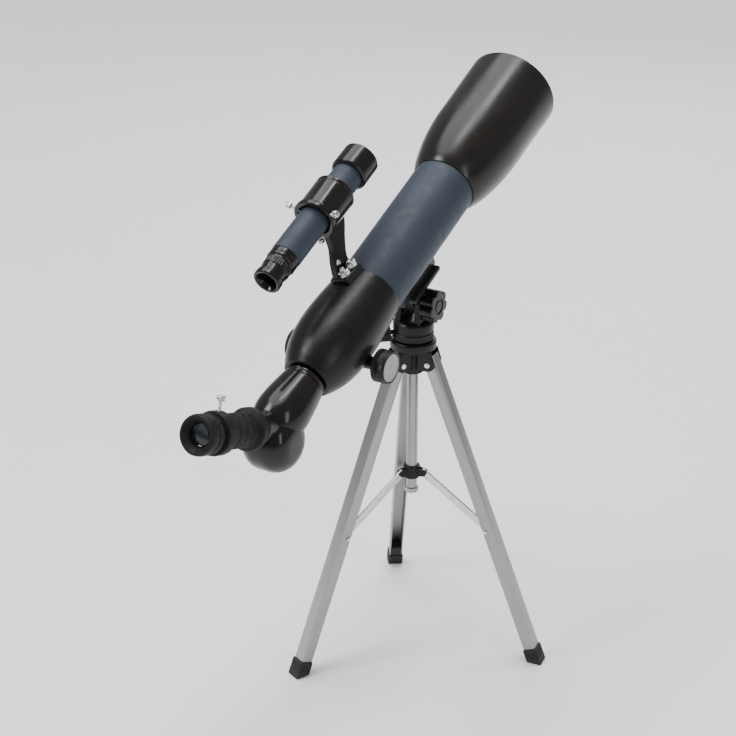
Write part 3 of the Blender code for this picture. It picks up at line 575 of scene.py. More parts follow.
def objective():
    spigot = TUBE_RADIUS - TUBE_WALL - GAP
    seat = LENS_RADIUS + GAP
    cell = [(23.4 * MM, 92 * MM), (spigot, 92 * MM), (spigot, 102.4 * MM), (27.6 * MM, 102.4 * MM),
            (27.6 * MM, 114 * MM), (seat, 114 * MM), (seat, 103.6 * MM), (23.4 * MM, 103.6 * MM)]
    piece("objective_mount", turned(cell), OPTICAL, SATIN, "telescope", "dull_black", "objective_cell")
    front = lens_face(LENS_RADIUS, 108 * MM, 2.2 * MM)
    back = lens_face(LENS_RADIUS, 105 * MM, -1.0 * MM)
    piece("objective_glass", turned(front + back[::-1], ROUND, 0), OPTICAL, GLASS, "telescope",
          "optical_glass", "objective_lens")
    ring = turned([(22.6 * MM, 111 * MM), (LENS_RADIUS - 0.1 * MM, 108.6 * MM),
                   (LENS_RADIUS, 113.4 * MM), (22.6 * MM, 113.4 * MM)])
    notch = [(box((21 * MM, -1.2 * MM, 112.3 * MM), (27 * MM, 1.2 * MM, 115 * MM), 0),
              turn_about("Z", half_turn)) for half_turn in (0.6, 0.6 + pi)]
    piece("lens_ring_with_notches", carved(ring, notch), OPTICAL, SATIN, "telescope",
          "dull_black", "lens_retaining_ring")
    keep("tube_baffle", DULL)


def cell_radius(station):
    """Swells behind the tube, then draws in to the focuser like an egg's end."""
    share = (TUBE_REAR - station) / (TUBE_REAR - CELL_REAR)
    fall = CELL_RADIUS - CELL_END_RADIUS
    return CELL_RADIUS + fall * share - 2 * fall * share ** 4


def rear_cell():
    """Moulded housing with a rolled front rim, an end ring and bosses for the focus shaft."""
    bore = DRAWTUBE_RADIUS + 0.4 * MM
    front = TUBE_REAR - GAP
    rim = [(cell_radius(front) - 0.1 * MM, front)]
    skin = [(cell_radius(z), z) for z in spaced(front - MM, CELL_REAR + 1.4 * MM, 64)]
    tail = [(cell_radius(CELL_REAR + 0.9 * MM) - 0.1 * MM, CELL_REAR + 0.6 * MM),
            (CELL_END_RADIUS - 0.6 * MM, CELL_REAR)]
    end = [(bore + 1.2 * MM, CELL_REAR), (bore, CELL_REAR + 1.2 * MM), (bore, -112 * MM)]
    inner = [(cell_radius(z) - CELL_WALL, z) for z in spaced(-112 * MM, -40 * MM, 12)]
    spigot = TUBE_RADIUS - TUBE_WALL - GAP
    step = [(24.6 * MM, -22 * MM), (spigot, -22 * MM), (spigot, front)]
    body = turned(rim + skin + tail + end + inner + step, ROUND, 0.25 * MM)
    joins = []
    for side in (0, pi):
        boss = [(0, 6 * MM), (5.5 * MM, 6 * MM), (5.5 * MM, KNOB_INNER - 3.2 * MM),
                (6.4 * MM, KNOB_INNER - 2.6 * MM), (6.4 * MM, KNOB_INNER - MM), (0, KNOB_INNER - MM)]
        local = moved(0, FOCUS_DROP, FOCUS_STATION) @ ALONG_X @ turn_about("Y", side)
        joins.append((turned(boss, MIDDLE), local))
    local = moved(0, FOCUS_DROP, FOCUS_STATION) @ ALONG_X
    slot = box((-2.9 * MM, 13 * MM, -150 * MM), (2.9 * MM, 18.4 * MM, -100 * MM), 0)
    cuts = [(rod(1.9 * MM, -45 * MM, 45 * MM), local), (rod(4.7 * MM, -3.8 * MM, 3.8 * MM), local),
            (slot, HERE)]
    piece("rear_cell_moulding", carved(body, cuts, joins), OPTICAL, SATIN, "telescope",
          "satin_black", "rear_cell")


def mount_shoe():
    outline = mm((-13, 20), (13, 20), (13, 30), (10.5, 34), (10.5, 42), (-10.5, 42), (-10.5, 34), (-13, 30))
    body = slab(outline, -8 * MM, 50 * MM, 0.8 * MM, 4)
    hole = moved(0, 0, 39 * MM) @ turn_about("X", pi / 2)
    cuts = [(rod(TUBE_RADIUS + GAP, -60 * MM, 90 * MM, ROUND), HERE),
            (rod(3.5 * MM, -50 * MM, -30 * MM), hole)]
    piece("mount_shoe_block", carved(body, cuts), OPTICAL, SATIN, "telescope", "satin_black", "mount_shoe")


# ---------------------------------------------------------------- focuser
def trapezoid(middle, root, tip, half_root, half_tip):
    return [(middle - half_root, root), (middle - half_tip, tip),
            (middle + half_tip, tip), (middle + half_root, root)]


def drawtube():
    rear = CELL_REAR - MM
    ring = [(DRAWTUBE_BORE, rear), (DRAWTUBE_RADIUS, rear),
            (DRAWTUBE_RADIUS, -54 * MM), (DRAWTUBE_BORE, -54 * MM)]
    pitch = pi * GEAR_MODULE
    line = FOCUS_DROP - PINION_TEETH * GEAR_MODULE / 2
    root = line - 0.9 * MM
    first = FOCUS_STATION - pitch * (RACK_TEETH // 2) + pitch / 2
    teeth = []
    for tooth in range(RACK_TEETH):
        teeth += trapezoid(first + tooth * pitch, root, line + 0.5 * MM, 0.62 * MM, 0.28 * MM)
    low = teeth[0][0] - MM
    high = teeth[-1][0] + MM
    outline = [(low, 14 * MM), (low, root)] + teeth + [(high, root), (high, 14 * MM)]
    rack = slab(outline, -2.5 * MM, 2.5 * MM, 0.12 * MM, 1)
    body = carved(turned(ring, MIDDLE), joins=[(rack, turn_about("Y", -pi / 2))])
    piece("focus_drawtube", body, OPTICAL, GLOSS, "drawtube", "gloss_black", "drawtube")


def focus_shaft():
    keep("focus_pinion", METAL)
    rim = KNOB_RADIUS
    low = KNOB_INNER
    high = KNOB_OUTER
    radius = rim - 2.1 * MM
    for side, half_turn in (("right", 0), ("left", pi)):
        place = FOCUS @ turn_about("Y", half_turn)
        heights = spaced(low + 1.2 * MM, low + 4.8 * MM, 8)
        front_heights = spaced(low + 7.3 * MM, high - 1.1 * MM, 8)
        outline = [(1.8 * MM, low), (5 * MM, low), (rim - 2 * MM, low + 0.4 * MM), (rim - 0.3 * MM, low + MM)]
        outline += [(rim, z) for z in heights]
        outline += [(rim - 1.1 * MM, low + 5.3 * MM), (rim - 1.1 * MM, low + 6.5 * MM), (rim, low + 7 * MM)]
        outline += [(rim, z) for z in front_heights]
        outline += [(rim - 0.25 * MM, high - 0.35 * MM), (rim - 0.9 * MM, high), (rim - 1.7 * MM, high),
                    (rim - 1.8 * MM, high - 1.5 * MM), (1.8 * MM, high - 1.5 * MM)]
        knob = turned(outline, 288, 0.15 * MM)
        ribbed(knob, low + 1.2 * MM, low + 4.9 * MM, 48, 0.35 * MM, rim - 0.6 * MM)
        ribbed(knob, low + 7.2 * MM, high - 1.0 * MM, 48, 0.35 * MM, rim - 0.6 * MM)
        piece(f"focus_knob_{side}_grip", knob, place, SATIN, "focus_knobs", "satin_black",
              f"focus_knob_{side}")
        disc = [(0, high - 1.2 * MM), (radius, high - 1.2 * MM), (radius, high - 0.35 * MM),
                (radius - 0.45 * MM, high - 0.05 * MM), (radius - 1.4 * MM, high - 0.05 * MM),
                (radius - 1.8 * MM, high - 0.3 * MM), (2.4 * MM, high - 0.3 * MM),
                (2.0 * MM, high - 0.1 * MM), (0, high - 0.05 * MM)]
        piece(f"focus_disc_{side}", turned(disc, ROUND, 0.12 * MM), place, DISC, "focus_knobs",
              "grey_disc", f"knob_disc_{side}")


# ---------------------------------------------------------------- diagonal and eyepiece
def smooth_curve(points, steps=6):
    """Points on a Catmull-Rom curve through the given ones."""
    ends = [points[0]] + list(points) + [points[-1]]
    spots = [Vector(point) for point in ends]
    result = []
    for a, b, c, d in zip(spots, spots[1:], spots[2:], spots[3:]):
        for share in spaced(0, 1, steps)[:-1]:
            bend = 2 * a - 5 * b + 4 * c - d
            twist = 3 * b - a - 3 * c + d
            result.append(tuple(0.5 * (2 * b + (c - a) * share + bend * share ** 2 + twist * share ** 3)))
    return result + [tuple(points[-1])]


def belly_outline(radius, half_width, corner):
    rim = arc((radius - corner, half_width - corner), corner, 90, 0, 12)
    back = [(r, -z) for r, z in reversed(rim)]
    return [(0, half_width)] + rim + back + [(0, -half_width)]


def diagonal_housing():
    nose = DRAWTUBE_BORE - GAP
    start = CELL_REAR - MM - GAP
    barrel = [(0, -122 * MM), (nose - 0.8 * MM, -122 * MM), (nose, -122.8 * MM), (nose, start),
              (BARREL_RADIUS - 0.8 * MM, start), (BARREL_RADIUS, start - 0.8 * MM),
              (BARREL_RADIUS, start - 2.2 * MM), (BARREL_RADIUS - 0.5 * MM, start - 2.7 * MM),
              (BARREL_RADIUS - 0.5 * MM, start - 3.5 * MM), (BARREL_RADIUS, start - 4 * MM),
              (BARREL_RADIUS, -144.6 * MM), (BARREL_RADIUS + 0.9 * MM, -145.4 * MM)]
    swell = mm((18.4, -146.4), (19.9, -156), (21.2, -166), (21.8, -176), (20.8, -185), (17, -194),
               (9, -200), (0, -202))
    outline = softened(barrel, 0.3 * MM) + smooth_curve(swell)
    lean = BEND / 2
    centre = moved(0, BELLY_OFFSET * cos(lean), ELBOW_STATION - BELLY_OFFSET * sin(lean)) @ ALONG_X
    belly = turned(belly_outline(BELLY_RADIUS, BELLY_HALF_WIDTH, BELLY_CORNER), ROUND, 0)
    branch = moved(0, 0, ELBOW_STATION) @ turn_about("X", pi - BEND)
    neck = turned(mm((0, 6), (13.6, 6), (13.3, 22), (13.9, 22.5), (13.9, 25), (13.0, 25.6), (13.0, 30.4),
                     (0, 30.4)))
    wall = 2.4 * MM
    inside = belly_outline(BELLY_RADIUS - wall, BELLY_HALF_WIDTH - wall, BELLY_CORNER - wall)
    room = turned(inside, MIDDLE, 0)
    inlet = rod(11.3 * MM, ELBOW_STATION - 4 * MM, -110 * MM, MIDDLE)
    outlet = rod(11.3 * MM, -4 * MM, 40 * MM, MIDDLE)
    body = carved(turned(outline, ROUND, 0), [(room, centre), (inlet, HERE), (outlet, branch)],
                  [(belly, centre), (neck, branch)])
    piece("diagonal_shell", body, OPTICAL, GLOSS, "diagonal", "gloss_black", "diagonal_housing")
    keep("diagonal_prism", PLAIN_GLASS)


def eyepiece_holder():
    """Turned grip between two rings, with fine ribs in bands."""
    spigot = 11 * MM
    bore = 12.6 * MM
    ring = 16.8 * MM
    grip = 13.7 * MM
    outline = [(9.5 * MM, 20 * MM), (spigot, 20 * MM), (spigot, 30.7 * MM), (ring - MM, 30.7 * MM),
               (ring, 31.7 * MM), (ring, 36.6 * MM), (ring - 0.5 * MM, 37.2 * MM),
               (grip - 0.3 * MM, 38.4 * MM)]
    bands = [(39.2 * MM + band * 8.1 * MM, 46.3 * MM + band * 8.1 * MM) for band in range(4)]
    for low, high in bands:
        outline += [(grip - 0.3 * MM, low - 0.3 * MM), (grip, low)]
        outline += [(grip, z) for z in spaced(low + 0.4 * MM, high - 0.4 * MM, 6)]
        outline += [(grip, high), (grip - 0.3 * MM, high + 0.3 * MM)]
    outline += [(grip - 0.3 * MM, 71.9 * MM), (ring - 0.4 * MM, 72.8 * MM), (ring, 73.4 * MM),
                (ring, 81 * MM), (ring - MM, 82 * MM), (bore, 82 * MM), (bore, 44 * MM), (9.5 * MM, 44 * MM)]
    grip_body = turned(outline, 320, 0.12 * MM)
    for low, high in bands:
        ribbed(grip_body, low, high, 56, 0.4 * MM, 13.2 * MM, 0.4 * MM)
    hole = moved(0, 0, 77 * MM) @ turn_about("X", -pi / 2)
    body = carved(grip_body, [(rod(1.8 * MM, 5 * MM, 22 * MM), hole)])
    piece("eyepiece_holder_grip", body, EYEPIECE, DULL, "diagonal", "dull_black", "eyepiece_holder")
    screw = mm((0, 12.9), (1.1, 12.9))
    for turn in range(9):
        thread = (13.4 + turn) * MM
        screw += [(1.15 * MM, thread), (1.4 * MM, thread + 0.3 * MM), (1.15 * MM, thread + 0.6 * MM)]
    screw += mm((1.4, 23), (1.4, 24), (2.9, 24.4), (3.4, 25))
    screw += [(3.4 * MM, z) for z in spaced(25.4 * MM, 26.8 * MM, 4)]
    screw += mm((3.4, 27.2), (2.9, 28), (1.4, 28.2), (0, 28.2))
    head = ribbed(turned(screw, 120, 0.1 * MM), 25.1 * MM, 27.1 * MM, 20, 0.3 * MM, 2.8 * MM, 0.3 * MM)
    piece("eyepiece_clamp_screw", head, EYEPIECE @ hole, METAL, "eyepiece_thumbscrew",
          "bright_metal", "eyepiece_thumbscrew")


def eyepiece_set():
    sleeve = 12.25 * MM
    wall = 0.8 * MM
    barrel = [(sleeve - wall, 50 * MM), (sleeve, 50 * MM), (sleeve, 72 * MM), (sleeve - 0.3 * MM, 72.5 * MM),
              (sleeve - 0.3 * MM, 76 * MM), (sleeve, 76.5 * MM), (sleeve, 84 * MM), (sleeve - wall, 84 * MM)]
    piece("eyepiece_chrome_barrel", turned(barrel), EYEPIECE, METAL, "eyepiece", "bright_metal",
          "eyepiece_barrel")
    fit = sleeve - wall - GAP
    cup = 15.6 * MM
    outline = [(8 * MM, 78 * MM), (fit, 78 * MM), (fit, 84.3 * MM), (13.2 * MM, 84.3 * MM),
               (13.2 * MM, 86.6 * MM), (cup - 0.8 * MM, 87 * MM), (cup, 87.8 * MM)]
    outline += [(cup, z) for z in spaced(88.4 * MM, 91.6 * MM, 5)]
    outline += [(cup - 0.2 * MM, 92.2 * MM), (cup - 0.8 * MM, 92.8 * MM), (cup - 0.8 * MM, 94.2 * MM),
                (cup - 0.1 * MM, 94.9 * MM), (cup, 98 * MM), (cup - 0.35 * MM, 100.4 * MM),
                (cup - 1.2 * MM, 101.7 * MM), (cup - 2.4 * MM, EYE_END), (12.4 * MM, EYE_END - 0.3 * MM),
                (9.4 * MM, 97.8 * MM), (9 * MM, 97 * MM), (9 * MM, 92 * MM), (8 * MM, 92 * MM)]
    body = turned(outline, 288, 0.25 * MM)
    ribbed(body, 88.2 * MM, 91.8 * MM, 48, 0.4 * MM, cup - 0.6 * MM, 0.4 * MM)
    piece("eyepiece_cup", body, EYEPIECE, DULL, "eyepiece", "dull_black", "eyepiece_body")
    eye = lens_face(8.6 * MM, 95 * MM, 1.6 * MM) + mm((8.6, 92.4), (0, 92.4))
    piece("eye_lens_glass", turned(eye, MIDDLE, 0.1 * MM), EYEPIECE, PLAIN_GLASS, "eyepiece",
          "optical_glass", "eye_lens")
    keep("field_lens", PLAIN_GLASS)


# ---------------------------------------------------------------- finder
def finder_bracket():
    """Sleeve with a flange, on a swept arm with a foot saddled on the tube."""
    inner = 14.6 * MM
    outer = 17.4 * MM
    ring = [(inner, -44 * MM), (outer + 0.2 * MM, -44 * MM), (outer + 0.9 * MM, -43.3 * MM),
            (outer + 0.9 * MM, -40.2 * MM), (outer + 0.2 * MM, -39.6 * MM), (outer, -38.8 * MM),
            (outer, -13 * MM), (outer - 0.5 * MM, -12.4 * MM), (outer - 0.5 * MM, -11.6 * MM),
            (outer, -11 * MM), (outer, -9.2 * MM), (outer - 1.2 * MM, -8 * MM), (inner, -8 * MM)]
    rear = smooth_curve(mm((-58, 30), (-56.2, 36), (-51.5, 45), (-44.5, 55), (-41, 68.5)), 5)
    front = smooth_curve(mm((-14, 68.5), (-20, 60.5), (-29, 51), (-36, 41), (-38, 30)), 5)
    arm = slab(rear + front, -3.5 * MM, 3.2 * MM, 1.1 * MM, 5)
    seat = box((-5.5 * MM, -34 * MM, -59 * MM), (13.5 * MM, -22 * MM, -37.5 * MM), 1.2 * MM)
    to_arm = moved(0, FINDER_DISTANCE, 0) @ turn_about("Y", -pi / 2) @ turn_about("X", pi)
    to_seat = moved(0, FINDER_DISTANCE, 0)
    saddle = [(cell_radius(z) + GAP, z) for z in spaced(-70 * MM, TUBE_REAR, 16)]
    saddle = [(0, -70 * MM)] + saddle + [(CELL_RADIUS + GAP, 0), (0, 0)]
    cuts = [(turned(saddle, ROUND, 0), to_seat),
            (rod(inner, -43 * MM, -9 * MM, ROUND), HERE)]
    for angle in FINDER_SCREW_TURNS:
        hole = moved(0, 0, FINDER_SCREW_STATION) @ turn_about("Z", angle) @ turn_about("X", pi / 2)
        cuts.append((rod(1.7 * MM, 11 * MM, 21 * MM), hole))
    body = carved(turned(ring), cuts, [(arm, to_arm), (seat, to_seat)])
    made = piece("finder_bracket_moulding", body, FINDER, SATIN, "telescope", "satin_black", "finder_bracket")
    line_faces(made, GLOSS, lambda spot: hypot(spot.x, spot.y) < 18.6 * MM)
    bolt_end = mm((0, 4.5), (1.2, 4.4), (2, 4), (2.4, 3.4), (2.4, 3))
    bolt = bolt_end + [(r, -z - 0.3 * MM) for r, z in reversed(bolt_end)]
    slot = box((-3 * MM, -0.35 * MM, 3.9 * MM), (3 * MM, 0.35 * MM, 6 * MM), 0)
    under = box((-3 * MM, -0.35 * MM, -7 * MM), (3 * MM, 0.35 * MM, -4.2 * MM), 0)
    shape = carved(turned(bolt, SMALL, 0), [(slot, HERE), (under, HERE)])
    piece("finder_arm_bolt", shape, FINDER @ to_arm @ moved(-48.5 * MM, 43 * MM), METAL, "telescope",
          "bright_metal")


def finder_fittings():
    outline = [(0, FINDER_RADIUS + GAP), (0.9 * MM, FINDER_RADIUS + GAP)]
    for turn in range(8):
        thread = FINDER_RADIUS + (0.9 + turn) * MM
        outline += [(1.05 * MM, thread), (1.3 * MM, thread + 0.3 * MM), (1.05 * MM, thread + 0.6 * MM)]
    outline += mm((1.6, 21.6), (2.5, 21.9), (2.8, 22.3))
    outline += [(2.8 * MM, z) for z in spaced(22.6 * MM, 24.8 * MM, 5)]
    outline += mm((2.8, 25.1), (2.3, 25.8), (1.2, 26), (0, 26))
    for number, angle in enumerate(FINDER_SCREW_TURNS, 1):
        head = ribbed(turned(outline, 96, 0.1 * MM), 22.3 * MM, 25.1 * MM, 16, 0.3 * MM, 2.2 * MM, 0.3 * MM)
        place = FINDER @ moved(0, 0, FINDER_SCREW_STATION) @ turn_about("Z", angle) @ turn_about("X", pi / 2)
        piece(f"finder_thumbscrew_{number}", head, place, METAL, f"finder_screw_{number}",
              "bright_metal", f"finder_screw_{number}")
    nut = mm((0, 34.3), (4.2, 34.3), (4.6, 34.7))
    nut += [(4.6 * MM, z) for z in spaced(35 * MM, 37.8 * MM, 6)]
    nut += mm((4.6, 38.1), (3.9, 38.9), (2.3, 39.1), (2.1, 38.8), (1.7, 38.8), (1.7, 40.9), (1.3, 41.4),
              (0, 41.6))
    for number, station in enumerate((-42.6 * MM, -53.4 * MM), 1):
        shape = ribbed(turned(nut, 144, 0.12 * MM), 34.7 * MM, 38.1 * MM, 24, 0.35 * MM, 3.6 * MM, 0.3 * MM)
        place = BRACKET @ moved(8.4 * MM, 0, station) @ turn_about("X", pi / 2)
        piece(f"bracket_knurled_nut_{number}", shape, place, METAL, f"bracket_nut_{number}",
              "bright_metal", f"bracket_nut_{number}")


def finder_scope():
    wall = FINDER_RADIUS - MM
    tube = [(wall, -89 * MM), (FINDER_RADIUS, -89 * MM), (FINDER_RADIUS, -40 * MM),
            (FINDER_RADIUS, 19 * MM), (wall, 19 * MM)]
    piece("finder_painted_tube", turned(tube), FINDER, BLUE, "telescope", "blue_paint", "finder_tube")
    hood = 15.8 * MM
    fit = FINDER_RADIUS + GAP
    outline = [(fit, 12 * MM), (14.2 * MM, 12 * MM), (hood - 0.3 * MM, 13.2 * MM), (hood, 14.2 * MM),
               (hood, 30 * MM), (hood, FINDER_FRONT - MM), (hood - 0.5 * MM, FINDER_FRONT - 0.2 * MM),
               (hood - MM, FINDER_FRONT), (14.4 * MM, FINDER_FRONT - 0.5 * MM),
               (14.4 * MM, 21 * MM), (fit, 19.6 * MM)]
    made = piece("finder_dew_hood", turned(outline), FINDER, GLOSS, "telescope", "gloss_black", "finder_hood")
    line_faces(made, DULL, lambda spot: hypot(spot.x, spot.y) < 14.5 * MM and spot.z < 33 * MM)
    radius = wall - GAP
    lens = lens_face(radius, 9 * MM, 1.4 * MM) + [(radius, 6.4 * MM), (0, 6.4 * MM)]
    piece("finder_front_glass", turned(lens, MIDDLE, 0.1 * MM), FINDER, GLASS, "telescope",
          "optical_glass", "finder_objective")
    outline = [(6.5 * MM, FINDER_REAR + 6 * MM), (9 * MM, FINDER_REAR + 0.4 * MM), (10 * MM, FINDER_REAR),
               (11 * MM, FINDER_REAR + 0.1 * MM), (11.6 * MM, FINDER_REAR + 0.9 * MM), (11.6 * MM, -113 * MM),
               (10.9 * MM, -112 * MM), (10.9 * MM, -106 * MM), (11.5 * MM, -105.2 * MM)]
    outline += [(11.5 * MM, z) for z in spaced(-104.8 * MM, -99 * MM, 6)]
    outline += mm((11.3, -98.2), (11.3, -97.2), (12.4, -96.5), (12.4, -94), (12.1, -93.6), (12.1, -93.1),
                  (12.4, -92.7), (12.4, -89.3))
    outline += [(radius, -89.3 * MM), (radius, -82 * MM), (6.5 * MM, -82 * MM)]
    body = ribbed(turned(outline, 288, 0.2 * MM), -105 * MM, -98.6 * MM, 40, 0.35 * MM, 11 * MM, 0.4 * MM)
    piece("finder_focus_eyepiece", body, FINDER, GLOSS, "finder_eyepiece", "dull_black", "finder_eyepiece")
    radius = 6.2 * MM
    eye = lens_face(radius, -109.2 * MM, 0.6 * MM)
    eye = [(r, -109.2 * MM - (z + 109.2 * MM)) for r, z in eye] + [(radius, -106 * MM), (0, -106 * MM)]
    piece("finder_eye_glass", turned(eye, MIDDLE, 0.1 * MM), FINDER, PLAIN_GLASS, "finder_eyepiece",
          "optical_glass", "finder_eye_lens")


# ---------------------------------------------------------------- pan and tilt head
def lobed(radius, depth, lobes, steps=14):
    """Outline of a star knob: rounded lobes around a core."""
    points = []
    for step in range(lobes * steps):
        angle = 2 * pi * step / (lobes * steps)
        wave = abs(sin(lobes * angle / 2))
        reach = radius - depth * (1 - wave) ** 1.6
        points.append((reach * cos(angle), reach * sin(angle)))
    return points


def tilt_platform():
    top = PIVOT_DROP - 42.3 * MM
    base = top - 4.6 * MM
    plate = box((-15 * MM, -17 * MM, base), (15 * MM, 29 * MM, top), MM)
    lug = [(-11 * MM, top - 3 * MM)] + arc((0, 0), 10.4 * MM, 180, 360, 40) + [(11 * MM, top - 3 * MM)]
    upright = turn_about("Z", pi / 2) @ turn_about("X", pi / 2)
    cork = box((-14.2 * MM, -16.2 * MM, top - 0.4 * MM), (14.2 * MM, 28.2 * MM, top + 0.15 * MM), 0.1 * MM)
    cuts = [(rod(3.2 * MM, -9 * MM, 9 * MM), ALONG_X), (rod(3.6 * MM, 0, 30 * MM), moved(0, 19 * MM))]
    body = carved(plate, cuts, [(slab(lug, -6 * MM, 6 * MM, 0.8 * MM), upright)])
    piece("tilt_platform_casting", body, TILT, SATIN, "telescope", "satin_black", "tilt_platform")
    cuts = [(rod(3.9 * MM, 0, 30 * MM), moved(0, 19 * MM))]
    piece("platform_rubber_pad", carved(cork, cuts), TILT, RUBBER, "telescope", "foot_rubber")
    outline = [(0, base - 5 * MM), (5.6 * MM, base - 5 * MM), (6.6 * MM, base - 4.6 * MM)]
    outline += [(7 * MM, z) for z in spaced(base - 4.2 * MM, base - 0.8 * MM, 6)]
    outline += [(6.4 * MM, base - GAP), (3.2 * MM, base - GAP), (3.2 * MM, top + 5 * MM), (0, top + 6 * MM)]
    screw = ribbed(turned(outline, 160, 0.12 * MM), base - 4.4 * MM, base - 0.6 * MM, 32, 0.35 * MM,
                   6 * MM, 0.4 * MM)
    piece("camera_thread_screw", screw, TILT @ moved(0, 19 * MM), METAL, "mount_screw",
          "bright_metal", "mount_screw")


def pan_base():
    top = -16 * MM
    bottom = -(HINGE_DROP - 20 * MM)
    radius = TURNTABLE_RADIUS
    disc = [(0, bottom), (radius - 1.2 * MM, bottom), (radius - 0.1 * MM, bottom + 1.1 * MM)]
    disc += [(radius, z) for z in spaced(bottom + 2 * MM, bottom + 6 * MM, 6)]
    disc += [(radius - 0.1 * MM, bottom + 6.9 * MM), (radius - 0.9 * MM, bottom + 7.4 * MM),
             (radius - 0.9 * MM, bottom + 8.6 * MM), (radius, bottom + 9.2 * MM),
             (radius, top - 2.2 * MM), (radius - 1.6 * MM, top - 0.4 * MM), (radius - 4 * MM, top), (0, top)]
    body = ribbed(turned(disc, 360, 0.25 * MM), bottom + 1.5 * MM, bottom + 6.5 * MM, 60, 0.4 * MM,
                  radius - MM, 0.5 * MM)
    ear = [(-12 * MM, top - 2 * MM), (12 * MM, top - 2 * MM)] + arc((0, 0), 10.4 * MM, 0, 180, 40)
    upright = turn_about("Z", pi / 2) @ turn_about("X", pi / 2)
    ears = [(slab(ear, low, low + 6 * MM, 0.9 * MM), upright) for low in (-12.5 * MM, 6.5 * MM)]
    knob_bore = moved(0, 0, bottom + 6.5 * MM) @ PAN_KNOB_WAY
    cuts = [(rod(3.2 * MM, -15 * MM, 15 * MM), ALONG_X),
            (rod(8.4 * MM, bottom - MM, bottom + 10 * MM, MIDDLE), HERE),
            (rod(2.4 * MM, 6 * MM, 22 * MM), knob_bore)]
    piece("pan_turntable", carved(body, cuts, ears), HEAD, SATIN, "pan_head", "satin_black", "pan_base")


def head_knobs():
    bolt = mm((0, -17), (3.9, -17), (4.8, -16.6), (5, -16), (5, -12.8), (2.8, -12.8), (2.8, 21), (0, 21))
    socket = slab([(2.4 * MM * cos(radians(60 * side)), 2.4 * MM * sin(radians(60 * side)))
                   for side in range(6)], -18 * MM, -14.8 * MM, 0)
    piece("tilt_bolt_socket_head", carved(turned(bolt, MIDDLE), [(socket, HERE)]),
          HEAD @ ALONG_X, METAL, "pan_head", "bright_metal", "tilt_bolt")
    star = slab(lobed(14.5 * MM, 3.4 * MM, 7, 24), 13 * MM, 25 * MM, 1.6 * MM, 6)
    dish = rod(7.2 * MM, 24.2 * MM, 27 * MM, MIDDLE)
    button = turned(mm((0, 23), (5.6, 23), (5.6, 24.4), (4.6, 24.9), (0, 25)), MIDDLE)
    cuts = [(rod(3.1 * MM, 12 * MM, 21.4 * MM), HERE), (dish, HERE)]
    body = carved(carved(star, cuts), joins=[(button, HERE)])
    piece("tilt_star_knob", body, HEAD @ ALONG_X, SATIN, "tilt_knob", "satin_black", "tilt_knob")
    height = -(HINGE_DROP - 20 * MM) + 6.5 * MM
    stem = rod(2.0 * MM, 9 * MM, 23 * MM)
    grip = slab(lobed(8.2 * MM, 1.2 * MM, 10, 12), 21.4 * MM, 32.4 * MM, 0.9 * MM, 4)
    dimple = rod(4 * MM, 31.7 * MM, 34 * MM)
    body = carved(grip, [(dimple, HERE)], [(stem, HERE)])
    piece("pan_lock_knob", body, HEAD @ moved(0, 0, height) @ PAN_KNOB_WAY, DULL, "pan_knob",
          "satin_black", "pan_knob")


# ---------------------------------------------------------------- tripod
def crown():
    top = -(HINGE_DROP - 20 * MM) - GAP
    hub = [(0, -66 * MM), (8 * MM, -66 * MM), (9.2 * MM, -65.6 * MM), (9.5 * MM, -64.4 * MM),
           (9.5 * MM, -46 * MM), (10.4 * MM, -44.6 * MM), (CROWN_RADIUS - 1.2 * MM, -42.6 * MM),
           (CROWN_RADIUS - 0.2 * MM, -41.9 * MM), (CROWN_RADIUS, -40.8 * MM), (CROWN_RADIUS, top - 1.6 * MM),
           (CROWN_RADIUS - 0.5 * MM, top - 0.5 * MM), (CROWN_RADIUS - 1.6 * MM, top), (8 * MM, top),
           (8 * MM, top + 9.4 * MM), (0, top + 9.4 * MM)]
    tongue = [(8 * MM, -8 * MM)] + arc((HINGE_RADIUS, 0), 5.2 * MM, -90, 90, 24) + [(8 * MM, 7 * MM)]
    cheek = mm((7, 12), (7, -7)) + arc((HINGE_RADIUS, 0), 6.4 * MM, -90, 30, 20)
    cheek.append((19.6 * MM, 12 * MM))
    width = CHANNEL_WIDTH / 2 - CHANNEL_WALL - 0.4 * MM
    walls = ((-width, width, tongue), (CHEEK_INNER, CHEEK_OUTER, cheek), (-CHEEK_OUTER, -CHEEK_INNER, cheek))
    joins = []
    cuts = [(rod(POST_RADIUS + GAP, -80 * MM, -52 * MM, MIDDLE), HERE)]
    for azimuth in AZIMUTHS:
        way = turn_about("Z", azimuth) @ turn_about("X", pi / 2)
        for low, high, outline in walls:
            joins.append((slab(outline, low, high, 0.5 * MM), moved(0, 0, -HINGE_DROP) @ way))
        spot = moved(HINGE_RADIUS * cos(azimuth), HINGE_RADIUS * sin(azimuth), -HINGE_DROP)
        cuts.append((rod(1.9 * MM, -12 * MM, 12 * MM), spot @ way))
    piece("tripod_crown", carved(turned(hub), cuts, joins), HEAD, SATIN, "tripod", "satin_black", "crown")


